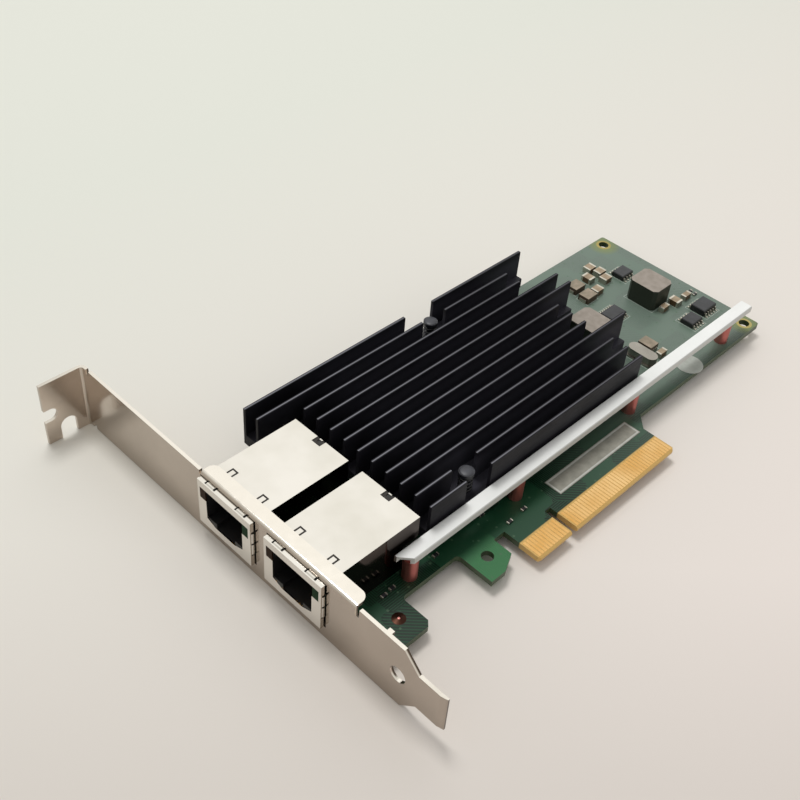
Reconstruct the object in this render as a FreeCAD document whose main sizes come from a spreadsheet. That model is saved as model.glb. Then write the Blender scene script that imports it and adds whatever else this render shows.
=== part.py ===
import FreeCAD, Part
import math
import os
import Sketcher

Vector = FreeCAD.Vector

# Card frame while modelling: X from the bracket's outer face towards the rear,
# Y from the contact edge towards the top edge, Z up from the component side.
# Every sub-part's Placement then moves it so that the origin is bottom centre.

doc = FreeCAD.newDocument("network_card")
sheet = doc.addObject("Spreadsheet::Sheet", "Dims")

dimensions = [
    ("board_front", 2.85, "bracket's outer face to the board's front edge"),
    ("board_rear", 160.5, "bracket's outer face to the board's rear edge"),
    ("board_top", 68.9, "contact edge to the board's top edge"),
    ("board_thick", 1.57, "laminate thickness"),
    ("body_edge", 13.1, "contact edge to the body's lower edge"),
    ("board_corner", 0.8, "radius on the rear corners"),
    ("foot_low", 4.1, "lower edge of the foot behind the bracket"),
    ("foot_rear", 17.0, "rear side of the foot"),
    ("foot_cut", 1.2, "chamfer on the foot"),
    ("lug_front", 34.5, "front side of the lug beside the tongue"),
    ("lug_rear", 43.8, "rear side of the lug"),
    ("lug_low", 2.9, "lower edge of the lug"),
    ("lug_cut", 2.4, "chamfer on the lug"),
    ("slot_end", 10.6, "closed end of the gap between lug and tongue"),
    ("key_place", 60.0, "middle of the key notch"),
    ("key_width", 1.9, "key notch width"),
    ("key_depth", 8.25, "key notch depth"),
    ("tongue_ahead", 12.6, "tongue ahead of the key"),
    ("tongue_behind", 39.6, "tongue behind the key"),
    ("tongue_cut", 0.6, "chamfer on the tongue's corners"),
    ("tongue_ramp", 3.7, "run of the slope behind the tongue"),
    ("bevel_rise", 0.5, "height of the contact edge's bevel"),
    ("bevel_depth", 0.4, "depth of the contact edge's bevel"),
    ("contact_pitch", 1.0, "contact spacing"),
    ("contact_width", 0.76, "contact width"),
    ("contact_top", 5.54, "upper end of the contacts"),
    ("contact_first", 1.775, "key to the first contact each side"),
    ("contact_thick", 0.04, "plating"),
    ("ring_wide", 0.75, "plated ring round a hole"),
    ("rivet_x", 12.7, "bracket rivets from the bracket face"),
    ("rivet_low", 9.7, "lower rivet from the contact edge"),
    ("rivet_high", 63.2, "upper rivet from the contact edge"),
    ("rivet_shank", 2.4, "rivet shank diameter"),
    ("rivet_bore", 1.0, "hole through the rivet"),
    ("rivet_head", 3.2, "rivet head diameter"),
    ("rivet_lip", 0.3, "rivet head thickness"),
    ("lug_hole_x", 39.2, "hole in the lug, along the card"),
    ("lug_hole_y", 8.4, "hole in the lug, up the card"),
    ("rear_hole_in", 3.3, "rear corner holes from the rear edge"),
    ("rear_hole_edge", 2.9, "rear corner holes from the long edges"),
    ("plain_hole", 3.0, "diameter of the plain board holes"),
    ("bracket_long", 120.02, "bracket length"),
    ("bracket_wide", 18.42, "bracket width"),
    ("bracket_sheet", 0.86, "bracket sheet thickness"),
    ("bracket_drop", 3.76, "component side down to the bracket's lower edge"),
    ("tongue_drop", 14.74, "contact edge down to the bracket's tip"),
    ("tip_wide", 10.19, "width of the bracket's tip"),
    ("tip_long", 7.28, "length of the bracket's tip"),
    ("shoulder_end", 11.4, "bracket's tip to its full width"),
    ("tip_bevel", 1.6, "bevelled length at the tip"),
    ("tab_deep", 11.43, "depth of the bent tab"),
    ("tab_bend", 0.8, "inner radius of the tab's bend"),
    ("relief", 1.2, "relief notches at the bend"),
    ("narrow_relief", 0.5, "relief slit at the top flange's upper end"),
    ("screw_slot", 4.42, "width of the tab's screw slot"),
    ("screw_slot_x", 5.6, "screw slot from the bracket face"),
    ("screw_slot_deep", 5.6, "depth of the screw slot"),
    ("side_slot", 3.7, "width of the tab's side slot"),
    ("side_slot_z", 8.7, "side slot from the bracket's lower edge"),
    ("side_slot_deep", 3.5, "depth of the side slot"),
    ("flange_low", 10.3, "lower end of the top flange"),
    ("flange_high", 59.0, "upper end of the top flange"),
    ("flange_deep", 3.9, "depth of the top flange"),
    ("flange_corner", 2.0, "corner radius of the top flange"),
    ("lug_place", 1.0, "small lug on the bracket's upper edge"),
    ("lug_wide", 1.3, "width of that lug"),
    ("lug_deep", 1.7, "reach of that lug"),
    ("hem_low", 4.6, "lower end of the bottom flange"),
    ("hem_deep", 4.0, "depth of the bottom flange"),
    ("foot_wide", 8.0, "width of the bracket's feet"),
    ("foot_reach", 16.4, "reach of the bracket's feet"),
    ("finger_hole", 4.2, "hole near the bracket's tip"),
    ("finger_hole_y", 12.55, "that hole from the tip"),
    ("jack_front", 1.2, "jacks stand proud of the bracket"),
    ("jack_rear", 26.93, "bracket face to the rear of the jacks"),
    ("jack_wide", 17.8, "jack width"),
    ("upper_jack_y", 40.97, "lower side of the upper jack"),
    ("lower_jack_y", 18.77, "lower side of the lower jack"),
    ("jack_gap", 0.35, "bracket opening round each jack"),
    ("jack_head_room", 0.3, "shield's top below the bracket's flange"),
    ("shield_sheet", 0.3, "shield sheet thickness"),
    ("finger_inner", 3.6, "inner slits of the shield's fingers from its middle"),
    ("finger_outer", 6.5, "outer slits of the shield's fingers from its middle"),
    ("finger_slit", 0.5, "slit width"),
    ("finger_rise", 0.16, "how far the fingers bulge"),
    ("mark_place", 4.5, "lanced marks from the bracket face"),
    ("mark_offset", 5.1, "lanced marks from the shield's middle"),
    ("mark_wide", 2.0, "size of the lanced marks"),
    ("notch_wide", 2.7, "notch in the shield's rear edge"),
    ("notch_deep", 1.9, "depth of that notch"),
    ("stud_wide", 0.9, "tab that stands up in that notch"),
    ("side_slit_low", 3.1, "lowest slit in the shield's sides above the board"),
    ("side_slit_step", 3.5, "spacing of those slits"),
    ("port_wide", 12.2, "plug opening width"),
    ("port_low", 3.0, "plug opening's lower side"),
    ("port_high", 11.5, "plug opening's upper side"),
    ("latch_wide", 6.3, "latch recess width"),
    ("latch_low", 1.9, "latch recess's lower side"),
    ("light_wall", 0.45, "wall between light pipe and shield"),
    ("port_deep", 12.5, "depth of the plug opening"),
    ("light_low", 8.3, "light pipe's lower side"),
    ("light_gap", 0.15, "wall between light pipe and plug opening"),
    ("housing_rear", 15.0, "rear of the housing behind the shield's front"),
    ("wire_pitch", 1.02, "contact wire spacing"),
    ("wire_wide", 0.4, "contact wire width"),
    ("wire_thick", 0.3, "contact wire thickness"),
    ("wire_start", 3.2, "contact wires start behind the jack's face"),
    ("wire_end", 10.2, "their lowest point behind the jack's face"),
    ("wire_low", 7.0, "their lowest point above the board"),
    ("fin_count", 12, "number of fins"),
    ("fin_pitch", 4.51, "fin spacing"),
    ("fin_thick", 0.8, "fin thickness"),
    ("fin_top", 14.15, "top of the fins above the board"),
    ("sink_low", 3.0, "underside of the heatsink above the board"),
    ("sink_base", 3.0, "heatsink base thickness"),
    ("sink_front", 19.7, "front end of the heatsink"),
    ("sink_rear", 117.5, "rear end of the heatsink"),
    ("sink_top", 68.85, "upper side of the heatsink"),
    ("sink_edge", 1.0, "base beyond the second fin beside the jacks"),
    ("jack_bay", 3.2, "gap between jacks and heatsink"),
    ("rear_bay", 10.6, "depth of the rear bays"),
    ("coil_gap", 6.1, "end of the rear bays to the middle inductor"),
    ("pin_upper_x", 78.2, "upper push pin along the card"),
    ("pin_upper_y", 64.8, "upper push pin up the card"),
    ("pin_lower_x", 45.6, "lower push pin along the card"),
    ("pin_lower_y", 22.2, "lower push pin up the card"),
    ("pin_head", 3.7, "push pin head diameter"),
    ("pin_head_tall", 1.0, "push pin head thickness"),
    ("pin_shank", 2.0, "push pin shank diameter"),
    ("pin_play", 0.15, "clearance round the shank, on radius"),
    ("pin_top", 12.0, "top of the push pin above the board"),
    ("pin_tail", 1.9, "barb below the board"),
    ("pin_bay_long", 8.3, "length cut from the fins round a push pin"),
    ("outer_fin_room", 2.0, "further length cut from the top fin"),
    ("spring_wire", 0.4, "push pin spring wire"),
    ("spring_wide", 3.5, "push pin spring diameter"),
    ("spring_turns", 4, "turns of the push pin spring"),
    ("bar_front", 19.0, "front end of the stiffener bar"),
    ("bar_rear_in", 5.5, "rear end of the bar in from the board's rear edge"),
    ("bar_low", 14.45, "lower side of the bar"),
    ("bar_wide", 3.6, "bar width"),
    ("bar_tall", 1.8, "bar height"),
    ("bar_top", 8.0, "top of the bar above the board"),
    ("bar_wall", 0.7, "bar sheet thickness"),
    ("bar_cut", 2.6, "slanted front end of the bar"),
    ("post_wide", 3.6, "post diameter"),
    ("post_neck", 2.2, "post neck inside the bar"),
    ("post_screw", 1.6, "screw shank in the post"),
    ("post_front", 22.4, "first post"),
    ("post_second", 57.6, "second post"),
    ("post_third", 102.3, "third post"),
    ("post_rear_in", 9.7, "last post in from the bar's rear end"),
    ("chip_wide", 25.0, "controller package side"),
    ("chip_x", 64.0, "controller along the card"),
    ("chip_y", 42.0, "controller up the card"),
    ("chip_base", 1.1, "controller substrate thickness"),
    ("lid_wide", 21.0, "controller lid side"),
    ("lid_tall", 1.2, "controller lid height"),
    ("lid_brim", 1.7, "width of the lid's brim"),
    ("phy_wide", 17.0, "transceiver package side"),
    ("phy_x", 92.0, "transceivers along the card"),
    ("phy_low", 30.0, "lower transceiver up the card"),
    ("phy_high", 54.0, "upper transceiver up the card"),
    ("phy_tall", 2.2, "transceiver package height"),
    ("phy_pad_in", 1.3, "thermal pads inside the package's edge"),
    ("coil_long", 9.4, "power inductor length"),
    ("coil_wide", 8.4, "power inductor width"),
    ("coil_tall", 6.5, "power inductor height"),
    ("rear_coil_in", 15.3, "rear inductor in from the board's rear edge"),
    ("coil_y", 41.2, "inductors up the card"),
    ("regulator_up", 1.7, "regulator above the inductors' middle line"),
    ("label_front", 66.1, "front end of the part label"),
    ("label_long", 31.8, "part label length"),
    ("label_low", 9.2, "lower side of the part label"),
    ("label_tall", 5.0, "part label height"),
    ("label_thick", 0.1, "label thickness"),
    ("round_label", 7.6, "round label diameter"),
    ("round_label_in", 30.7, "round label in from the board's rear edge"),
    ("round_label_y", 16.1, "round label up the card"),
]
for row, (alias, amount, meaning) in enumerate(dimensions, start=1):
    sheet.set(f"A{row}", alias)
    sheet.set(f"B{row}", str(amount))
    sheet.set(f"C{row}", meaning)
    sheet.setAlias(f"B{row}", alias)
doc.recompute()


class Size:
    """A length with its number and the spreadsheet formula that gives it."""

    def __init__(self, value, text):
        self.value = value
        self.text = text

    def join(self, sign, other, value):
        return Size(value, f"({self.text} {sign} {formula(other)})")

    def __add__(self, other):
        return self.join("+", other, self.value + number(other))

    def __radd__(self, other):
        return size(other) + self

    def __sub__(self, other):
        return self.join("-", other, self.value - number(other))

    def __rsub__(self, other):
        return size(other) - self

    def __mul__(self, other):
        return self.join("*", other, self.value * number(other))

    def __truediv__(self, other):
        return self.join("/", other, self.value / number(other))

    def __neg__(self):
        return Size(-self.value, f"(0 - {self.text})")


def number(amount):
    return amount.value if isinstance(amount, Size) else float(amount)


def formula(amount):
    return amount.text if isinstance(amount, Size) else repr(float(amount))


def size(amount):
    return amount if isinstance(amount, Size) else Size(float(amount), repr(float(amount)))


class Cells:
    """Each spreadsheet alias as a Size, such as dim.board_rear."""


dim = Cells()
for alias, _, _ in dimensions:
    setattr(dim, alias, Size(float(sheet.get(alias)), f"Dims.{alias}"))

shift_x = (dim.tab_deep - dim.board_rear) / 2
shift_y = dim.tongue_drop - dim.bracket_long / 2
shift_z = dim.bracket_drop

sub_parts = []


def bind(item, prop, amount):
    item.setExpression(prop, formula(amount))


def seat(item, x=0, y=0, z=0):
    """Place an object of the card frame in the finished frame."""
    for letter, shift, offset in (("x", shift_x, x), ("y", shift_y, y), ("z", shift_z, z)):
        bind(item, f"Placement.Base.{letter}", shift + offset)


def new_body(name):
    body = doc.addObject("PartDesign::Body", name)
    body.Label = name
    sub_parts.append(body)
    return body


def new_sketch(body, plane, lift=0):
    sketch = body.newObject("Sketcher::SketchObject", body.Name + "Sketch")
    for feature in body.Origin.OriginFeatures:
        if feature.Role == plane:
            sketch.AttachmentSupport = [(feature, "")]
    sketch.MapMode = "FlatFace"
    if number(lift) != 0:
        bind(sketch, "AttachmentOffset.Base.z", lift)
    return sketch


def pin_point(sketch, geometry, end, x, y):
    """Fix one point of a sketch at x, y from its origin."""
    for amount, kind, axis in ((size(x), "DistanceX", -2), (size(y), "DistanceY", -1)):
        if amount.value == 0:
            sketch.addConstraint(Sketcher.Constraint("PointOnObject", geometry, end, axis))
            continue
        ends = (-1, 1, geometry, end) if amount.value > 0 else (geometry, end, -1, 1)
        forward = amount if amount.value > 0 else -amount
        index = sketch.addConstraint(Sketcher.Constraint(kind, *ends, forward.value))
        sketch.setExpression(f"Constraints[{index}]", forward.text)


def draw(sketch, corners):
    """Add a closed outline through the corners to a sketch."""
    first = sketch.GeometryCount
    spots = [Vector(number(x), number(y), 0) for x, y in corners]
    count = len(spots)
    for index in range(count):
        sketch.addGeometry(Part.LineSegment(spots[index], spots[(index + 1) % count]), False)
    for index in range(count):
        after = first + (index + 1) % count
        sketch.addConstraint(Sketcher.Constraint("Coincident", first + index, 2, after, 1))
    for index, (x, y) in enumerate(corners):
        pin_point(sketch, first + index, 1, x, y)


def draw_box(sketch, x_low, x_high, y_low, y_high):
    draw(sketch, [(x_low, y_low), (x_high, y_low), (x_high, y_high), (x_low, y_high)])


def draw_circle(sketch, x, y, diameter):
    circle = Part.Circle(Vector(number(x), number(y), 0), Vector(0, 0, 1), number(diameter) / 2)
    index = sketch.addGeometry(circle, False)
    pin_point(sketch, index, 3, x, y)
    row = sketch.addConstraint(Sketcher.Constraint("Diameter", index, number(diameter)))
    sketch.setExpression(f"Constraints[{row}]", formula(diameter))


def pad(body, sketch, length, back=False):
    feature = body.newObject("PartDesign::Pad", body.Name + "Pad")
    feature.Profile = sketch
    feature.Reversed = back
    bind(feature, "Length", length)
    doc.recompute()
    return feature


def cut(body, sketch, depth=None, back=False):
    """Pocket a sketch, right through where no depth is given, and see that it cuts."""
    before = body.Shape.Volume
    feature = body.newObject("PartDesign::Pocket", body.Name + "Pocket")
    feature.Profile = sketch
    feature.Reversed = back
    if depth is None:
        feature.Type = "ThroughAll"
    else:
        bind(feature, "Length", depth)
    doc.recompute()
    if body.Shape.Volume > before - 1e-6:
        raise RuntimeError(f"a pocket in {body.Label} cuts nothing")
    return feature


def find_edges(shape, wanted):
    """Names of the straight edges whose two ends both satisfy a test."""
    names = []
    for index, edge in enumerate(shape.Edges, start=1):
        ends = [vertex.Point for vertex in edge.Vertexes]
        if len(ends) == 2 and wanted(*ends):
            names.append(f"Edge{index}")
    return names


def upright(a, b):
    return abs(a.x - b.x) < 1e-6 and abs(a.y - b.y) < 1e-6


def fillet(body, wanted, radius):
    base = body.Tip
    names = find_edges(base.Shape, wanted)
    if not names:
        raise RuntimeError(f"a fillet in {body.Label} finds no edge")
    feature = body.newObject("PartDesign::Fillet", body.Name + "Fillet")
    feature.Base = (base, names)
    bind(feature, "Radius", radius)
    body.Tip = feature
    doc.recompute()
    return feature


def group(name, solids):
    """One sub-part of several like solids that are made in the card frame."""
    item = doc.addObject("Part::Feature", name)
    item.Label = name
    item.Shape = Part.Compound(solids) if len(solids) > 1 else solids[0]
    seat(item)
    sub_parts.append(item)
    return item


def block(x, y, z, length, width, height, turned=False):
    """A block centred on x, y that stands on z."""
    along, across = (width, length) if turned else (length, width)
    return Part.makeBox(along, across, height, Vector(x - along / 2, y - across / 2, z))


def turned_solid(x, y, outline):
    """A solid of revolution about a vertical axis from (radius, z) corners."""
    corners = [Vector(x + radius, y, z) for radius, z in outline]
    face = Part.Face(Part.makePolygon(corners + corners[:1]))
    return face.revolve(Vector(x, y, 0), Vector(0, 0, 1), 360)


# Board

board = new_body("circuit_board")
bar_rear = dim.board_rear - dim.bar_rear_in
tongue_front = dim.key_place - dim.tongue_ahead
tongue_rear = dim.key_place + dim.tongue_behind
key_front = dim.key_place - dim.key_width / 2
key_rear = dim.key_place + dim.key_width / 2
rear_hole_x = dim.board_rear - dim.rear_hole_in
rear_hole_low = dim.body_edge + dim.rear_hole_edge
rear_hole_high = dim.board_top - dim.rear_hole_edge
post_places = [dim.post_front, dim.post_second, dim.post_third, bar_rear - dim.post_rear_in]
post_y = dim.bar_low + dim.bar_wide / 2
pin_places = [(dim.pin_upper_x, dim.pin_upper_y), (dim.pin_lower_x, dim.pin_lower_y)]
rivet_places = [(dim.rivet_x, dim.rivet_low), (dim.rivet_x, dim.rivet_high)]
rear_places = [(rear_hole_x, rear_hole_low), (rear_hole_x, rear_hole_high)]
plain_places = rear_places + [(dim.lug_hole_x, dim.lug_hole_y)]

outline = new_sketch(board, "XY_Plane")
draw(outline, [
    (dim.board_front, dim.foot_low),
    (dim.foot_rear - dim.foot_cut, dim.foot_low),
    (dim.foot_rear, dim.foot_low + dim.foot_cut),
    (dim.foot_rear, dim.body_edge),
    (dim.lug_front, dim.body_edge),
    (dim.lug_front, dim.lug_low),
    (dim.lug_rear - dim.lug_cut * 2, dim.lug_low),
    (dim.lug_rear, dim.lug_low + dim.lug_cut),
    (dim.lug_rear, dim.slot_end),
    (tongue_front, dim.slot_end),
    (tongue_front, dim.tongue_cut),
    (tongue_front + dim.tongue_cut, 0),
    (key_front, 0),
    (key_front, dim.key_depth),
    (key_rear, dim.key_depth),
    (key_rear, 0),
    (tongue_rear - dim.tongue_cut, 0),
    (tongue_rear, dim.tongue_cut),
    (tongue_rear, dim.body_edge - dim.tongue_ramp),
    (tongue_rear + dim.tongue_ramp, dim.body_edge),
    (dim.board_rear, dim.body_edge),
    (dim.board_rear, dim.board_top),
    (dim.board_front, dim.board_top),
])
pad(board, outline, dim.board_thick, back=True)

holes = new_sketch(board, "XY_Plane")
for x, y in rivet_places:
    draw_circle(holes, x, y, dim.rivet_shank)
for x, y in plain_places:
    draw_circle(holes, x, y, dim.plain_hole)
for x, y in pin_places:
    draw_circle(holes, x, y, dim.pin_shank + dim.pin_play * 2)
for x in post_places:
    draw_circle(holes, x, post_y, dim.post_screw)
cut(board, holes)

bevel = new_sketch(board, "YZ_Plane")
draw(bevel, [(0, 0), (dim.bevel_rise, 0), (0, -dim.bevel_depth)])
low = -dim.board_thick
draw(bevel, [(0, low), (0, low + dim.bevel_depth), (dim.bevel_rise, low)])
cut(board, bevel, back=True)

rear_x = dim.board_rear.value
fillet(board, lambda a, b: upright(a, b) and abs(a.x - rear_x) < 1e-6, dim.board_corner)
bay_edge = dim.body_edge.value
bay_sides = (dim.foot_rear.value, dim.lug_front.value)


def inner_corner(a, b):
    """The upright edges where the bay between foot and lug meets the body."""
    beside = min(abs(a.x - side) for side in bay_sides) < 1e-6
    return upright(a, b) and abs(a.y - bay_edge) < 1e-6 and beside


fillet(board, inner_corner, dim.foot_cut)
seat(board)


def contact_row(bottom):
    """Contacts ahead of and behind the key on one side of the board."""
    step = dim.contact_pitch.value
    first = dim.contact_first.value
    ahead = int((dim.tongue_ahead.value - first) / step) + 1
    behind = int((dim.tongue_behind.value - first) / step) + 1
    places = [-first - step * index for index in range(ahead)]
    places += [first + step * index for index in range(behind)]
    height = dim.contact_top.value - dim.bevel_rise.value
    pads = []
    for place in places:
        corner_x = dim.key_place.value + place - dim.contact_width.value / 2
        corner = Vector(corner_x, dim.bevel_rise.value, bottom)
        pads.append(Part.makeBox(dim.contact_width.value, height, dim.contact_thick.value, corner))
    return pads


group("edge_contacts_front", contact_row(0))
group("edge_contacts_back", contact_row(-dim.board_thick.value - dim.contact_thick.value))


def ring(x, y, surface, crest):
    """A soldered land round a hole, thickest at the hole's edge."""
    inner = dim.plain_hole.value / 2
    outer = inner + dim.ring_wide.value
    return turned_solid(x.value, y.value, [(inner, surface), (outer, surface), (inner, crest)])


board_back = -dim.board_thick.value
rings = []
for x, y in rear_places:
    rings.append(ring(x, y, 0, dim.contact_thick.value))
    rings.append(ring(x, y, board_back, board_back - dim.contact_thick.value))
group("hole_rings", rings)

# Bracket, in a frame with Y from its tip and Z from its lower edge

bracket = new_body("mounting_bracket")
inside = dim.bracket_sheet
tip_low = (dim.bracket_wide - dim.tip_wide) / 2
tip_high = tip_low + dim.tip_wide
jack_tall = dim.bracket_wide - dim.bracket_drop - dim.bracket_sheet - dim.jack_head_room

plan = new_sketch(bracket, "XY_Plane")
draw(plan, [
    (0, 0),
    (inside, 0),
    (inside, dim.bracket_long),
    (-dim.tab_deep, dim.bracket_long),
    (-dim.tab_deep, dim.bracket_long - inside),
    (0, dim.bracket_long - inside),
])
pad(bracket, plan, dim.bracket_wide)
bend_y = (dim.bracket_long - inside).value
fillet(bracket, lambda a, b: upright(a, b) and abs(a.x) < 1e-6 and abs(a.y - bend_y) < 1e-6, dim.tab_bend)
fillet(
    bracket,
    lambda a, b: upright(a, b) and a.x > 0 and a.y > bend_y,
    dim.tab_bend + dim.bracket_sheet,
)

face = new_sketch(bracket, "YZ_Plane", -dim.tab_deep)
draw(face, [(-1, -1), (dim.shoulder_end, -1), (dim.shoulder_end, 0), (dim.tip_long, tip_low), (-1, tip_low)])
top_z = dim.bracket_wide
draw(face, [
    (-1, tip_high),
    (dim.tip_long, tip_high),
    (dim.shoulder_end, top_z),
    (dim.shoulder_end, top_z + 1),
    (-1, top_z + 1),
])
draw_circle(face, dim.finger_hole_y, dim.bracket_wide / 2, dim.finger_hole)
cut(bracket, face, back=True)

windows = new_sketch(bracket, "YZ_Plane")
for low_side in (dim.upper_jack_y, dim.lower_jack_y):
    near = dim.tongue_drop + low_side - dim.jack_gap
    far = dim.tongue_drop + low_side + dim.jack_wide + dim.jack_gap
    sill = dim.bracket_drop - dim.jack_gap
    draw_box(windows, near, far, sill, dim.bracket_drop + jack_tall + dim.jack_gap / 2)
cut(bracket, windows, dim.bracket_sheet, back=True)

slots = new_sketch(bracket, "XZ_Plane", -dim.bracket_long)
half_slot = dim.screw_slot / 2
slot_top = dim.screw_slot_deep - half_slot
draw_box(slots, -dim.screw_slot_x - half_slot, half_slot - dim.screw_slot_x, -1, slot_top)
cut(bracket, slots, dim.bracket_sheet, back=True)
slot_end = new_sketch(bracket, "XZ_Plane", -dim.bracket_long)
draw_circle(slot_end, -dim.screw_slot_x, slot_top, dim.screw_slot)
cut(bracket, slot_end, dim.bracket_sheet, back=True)
side = new_sketch(bracket, "XZ_Plane", -dim.bracket_long)
side_end = dim.side_slot_deep - dim.tab_deep - dim.side_slot / 2
side_low = dim.side_slot_z - dim.side_slot / 2
draw_box(side, -dim.tab_deep - 1, side_end, side_low, side_low + dim.side_slot)
cut(bracket, side, dim.bracket_sheet, back=True)
side_round = new_sketch(bracket, "XZ_Plane", -dim.bracket_long)
draw_circle(side_round, side_end, dim.side_slot_z, dim.side_slot)
cut(bracket, side_round, dim.bracket_sheet, back=True)

# Top flange, its relief slits and its rounded corner
flange_start = dim.tongue_drop + dim.flange_low
flange_stop = dim.tongue_drop + dim.flange_high
flange = new_sketch(bracket, "XY_Plane", dim.bracket_wide - dim.bracket_sheet)
draw_box(flange, 0, dim.flange_deep, flange_start, flange_stop)
lug_start = dim.tongue_drop + dim.lug_place
draw_box(flange, 0, dim.lug_deep, lug_start, lug_start + dim.lug_wide)
pad(bracket, flange, dim.bracket_sheet)
slit = new_sketch(bracket, "YZ_Plane")
slit_low = dim.bracket_wide - dim.relief * 2
draw_box(slit, flange_start - dim.relief, flange_start, slit_low, dim.bracket_wide + 1)
slit_low = dim.bracket_wide - dim.narrow_relief * 2
draw_box(slit, flange_stop, flange_stop + dim.narrow_relief, slit_low, dim.bracket_wide + 1)
bend_slit = dim.bracket_long - dim.relief * 3
draw_box(slit, bend_slit, bend_slit + dim.relief, dim.bracket_wide - dim.relief, dim.bracket_wide + 1)
draw_box(slit, bend_slit, bend_slit + dim.relief, -1, dim.relief)
cut(bracket, slit, dim.bracket_sheet, back=True)

# Bottom flange with two joggled feet under the board
foot_rise = dim.bracket_drop - dim.board_thick - dim.bracket_sheet
hem = new_sketch(bracket, "XY_Plane")
hem_stop = dim.tongue_drop + dim.rivet_high + dim.foot_wide / 2
draw_box(hem, 0, dim.hem_deep, dim.tongue_drop + dim.hem_low, hem_stop)
pad(bracket, hem, dim.bracket_sheet)
for _, rivet_y in rivet_places:
    foot = new_sketch(bracket, "XZ_Plane", -(dim.tongue_drop + rivet_y + dim.foot_wide / 2))
    step_start = dim.hem_deep - dim.bracket_sheet
    step_stop = step_start + foot_rise
    draw(foot, [
        (step_start, 0),
        (dim.hem_deep, 0),
        (dim.hem_deep + foot_rise, foot_rise),
        (dim.foot_reach, foot_rise),
        (dim.foot_reach, foot_rise + dim.bracket_sheet),
        (step_stop, foot_rise + dim.bracket_sheet),
        (step_start, dim.bracket_sheet),
    ])
    pad(bracket, foot, dim.foot_wide)
rivet_holes = new_sketch(bracket, "XY_Plane")
for x, y in rivet_places:
    draw_circle(rivet_holes, x, dim.tongue_drop + y, dim.rivet_shank)
cut(bracket, rivet_holes, dim.bracket_drop, back=True)

flange_x = dim.flange_deep.value
top_height = dim.bracket_wide.value
fillet(
    bracket,
    lambda a, b: upright(a, b) and abs(a.x - flange_x) < 1e-6 and min(a.z, b.z) > top_height / 2,
    dim.flange_corner,
)
flange_low_y = flange_start.value
fillet(
    bracket,
    lambda a, b: abs(a.x) + abs(b.x) < 1e-6
    and min(a.z, b.z) > top_height - 1e-6
    and min(a.y, b.y) > flange_low_y - 1e-6
    and max(a.y, b.y) < flange_stop.value + 1e-6,
    dim.bracket_sheet,
)
tip = new_sketch(bracket, "XY_Plane")
draw(tip, [(0, 0), (0, dim.tip_bevel), (dim.bracket_sheet / 2, 0)])
cut(bracket, tip, back=True)
seat(bracket, 0, -dim.tongue_drop, -dim.bracket_drop)


def rivet(x, y):
    """A tubular rivet through the board and the bracket's foot, both ends rolled over."""
    top = dim.rivet_lip.value
    bottom = -dim.board_thick.value - dim.bracket_sheet.value
    bore = dim.rivet_bore.value / 2
    shank = dim.rivet_shank.value / 2
    head = dim.rivet_head.value / 2
    rolled = bottom - top
    return turned_solid(x.value, y.value, [
        (bore, top), (head, 0), (shank, 0), (shank, bottom), (head, bottom), (bore, rolled),
    ])


group("bracket_rivets", [rivet(x, y) for x, y in rivet_places])

# Jacks, each in a frame with X from its front, Y from its lower side and Z from the board

shell = dim.shield_sheet
jack_long = dim.jack_front + dim.jack_rear
middle = dim.jack_wide / 2
inner_high = jack_tall - shell
light_in = dim.port_wide / 2 + dim.light_gap
light_out = middle - shell - dim.light_wall


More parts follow.
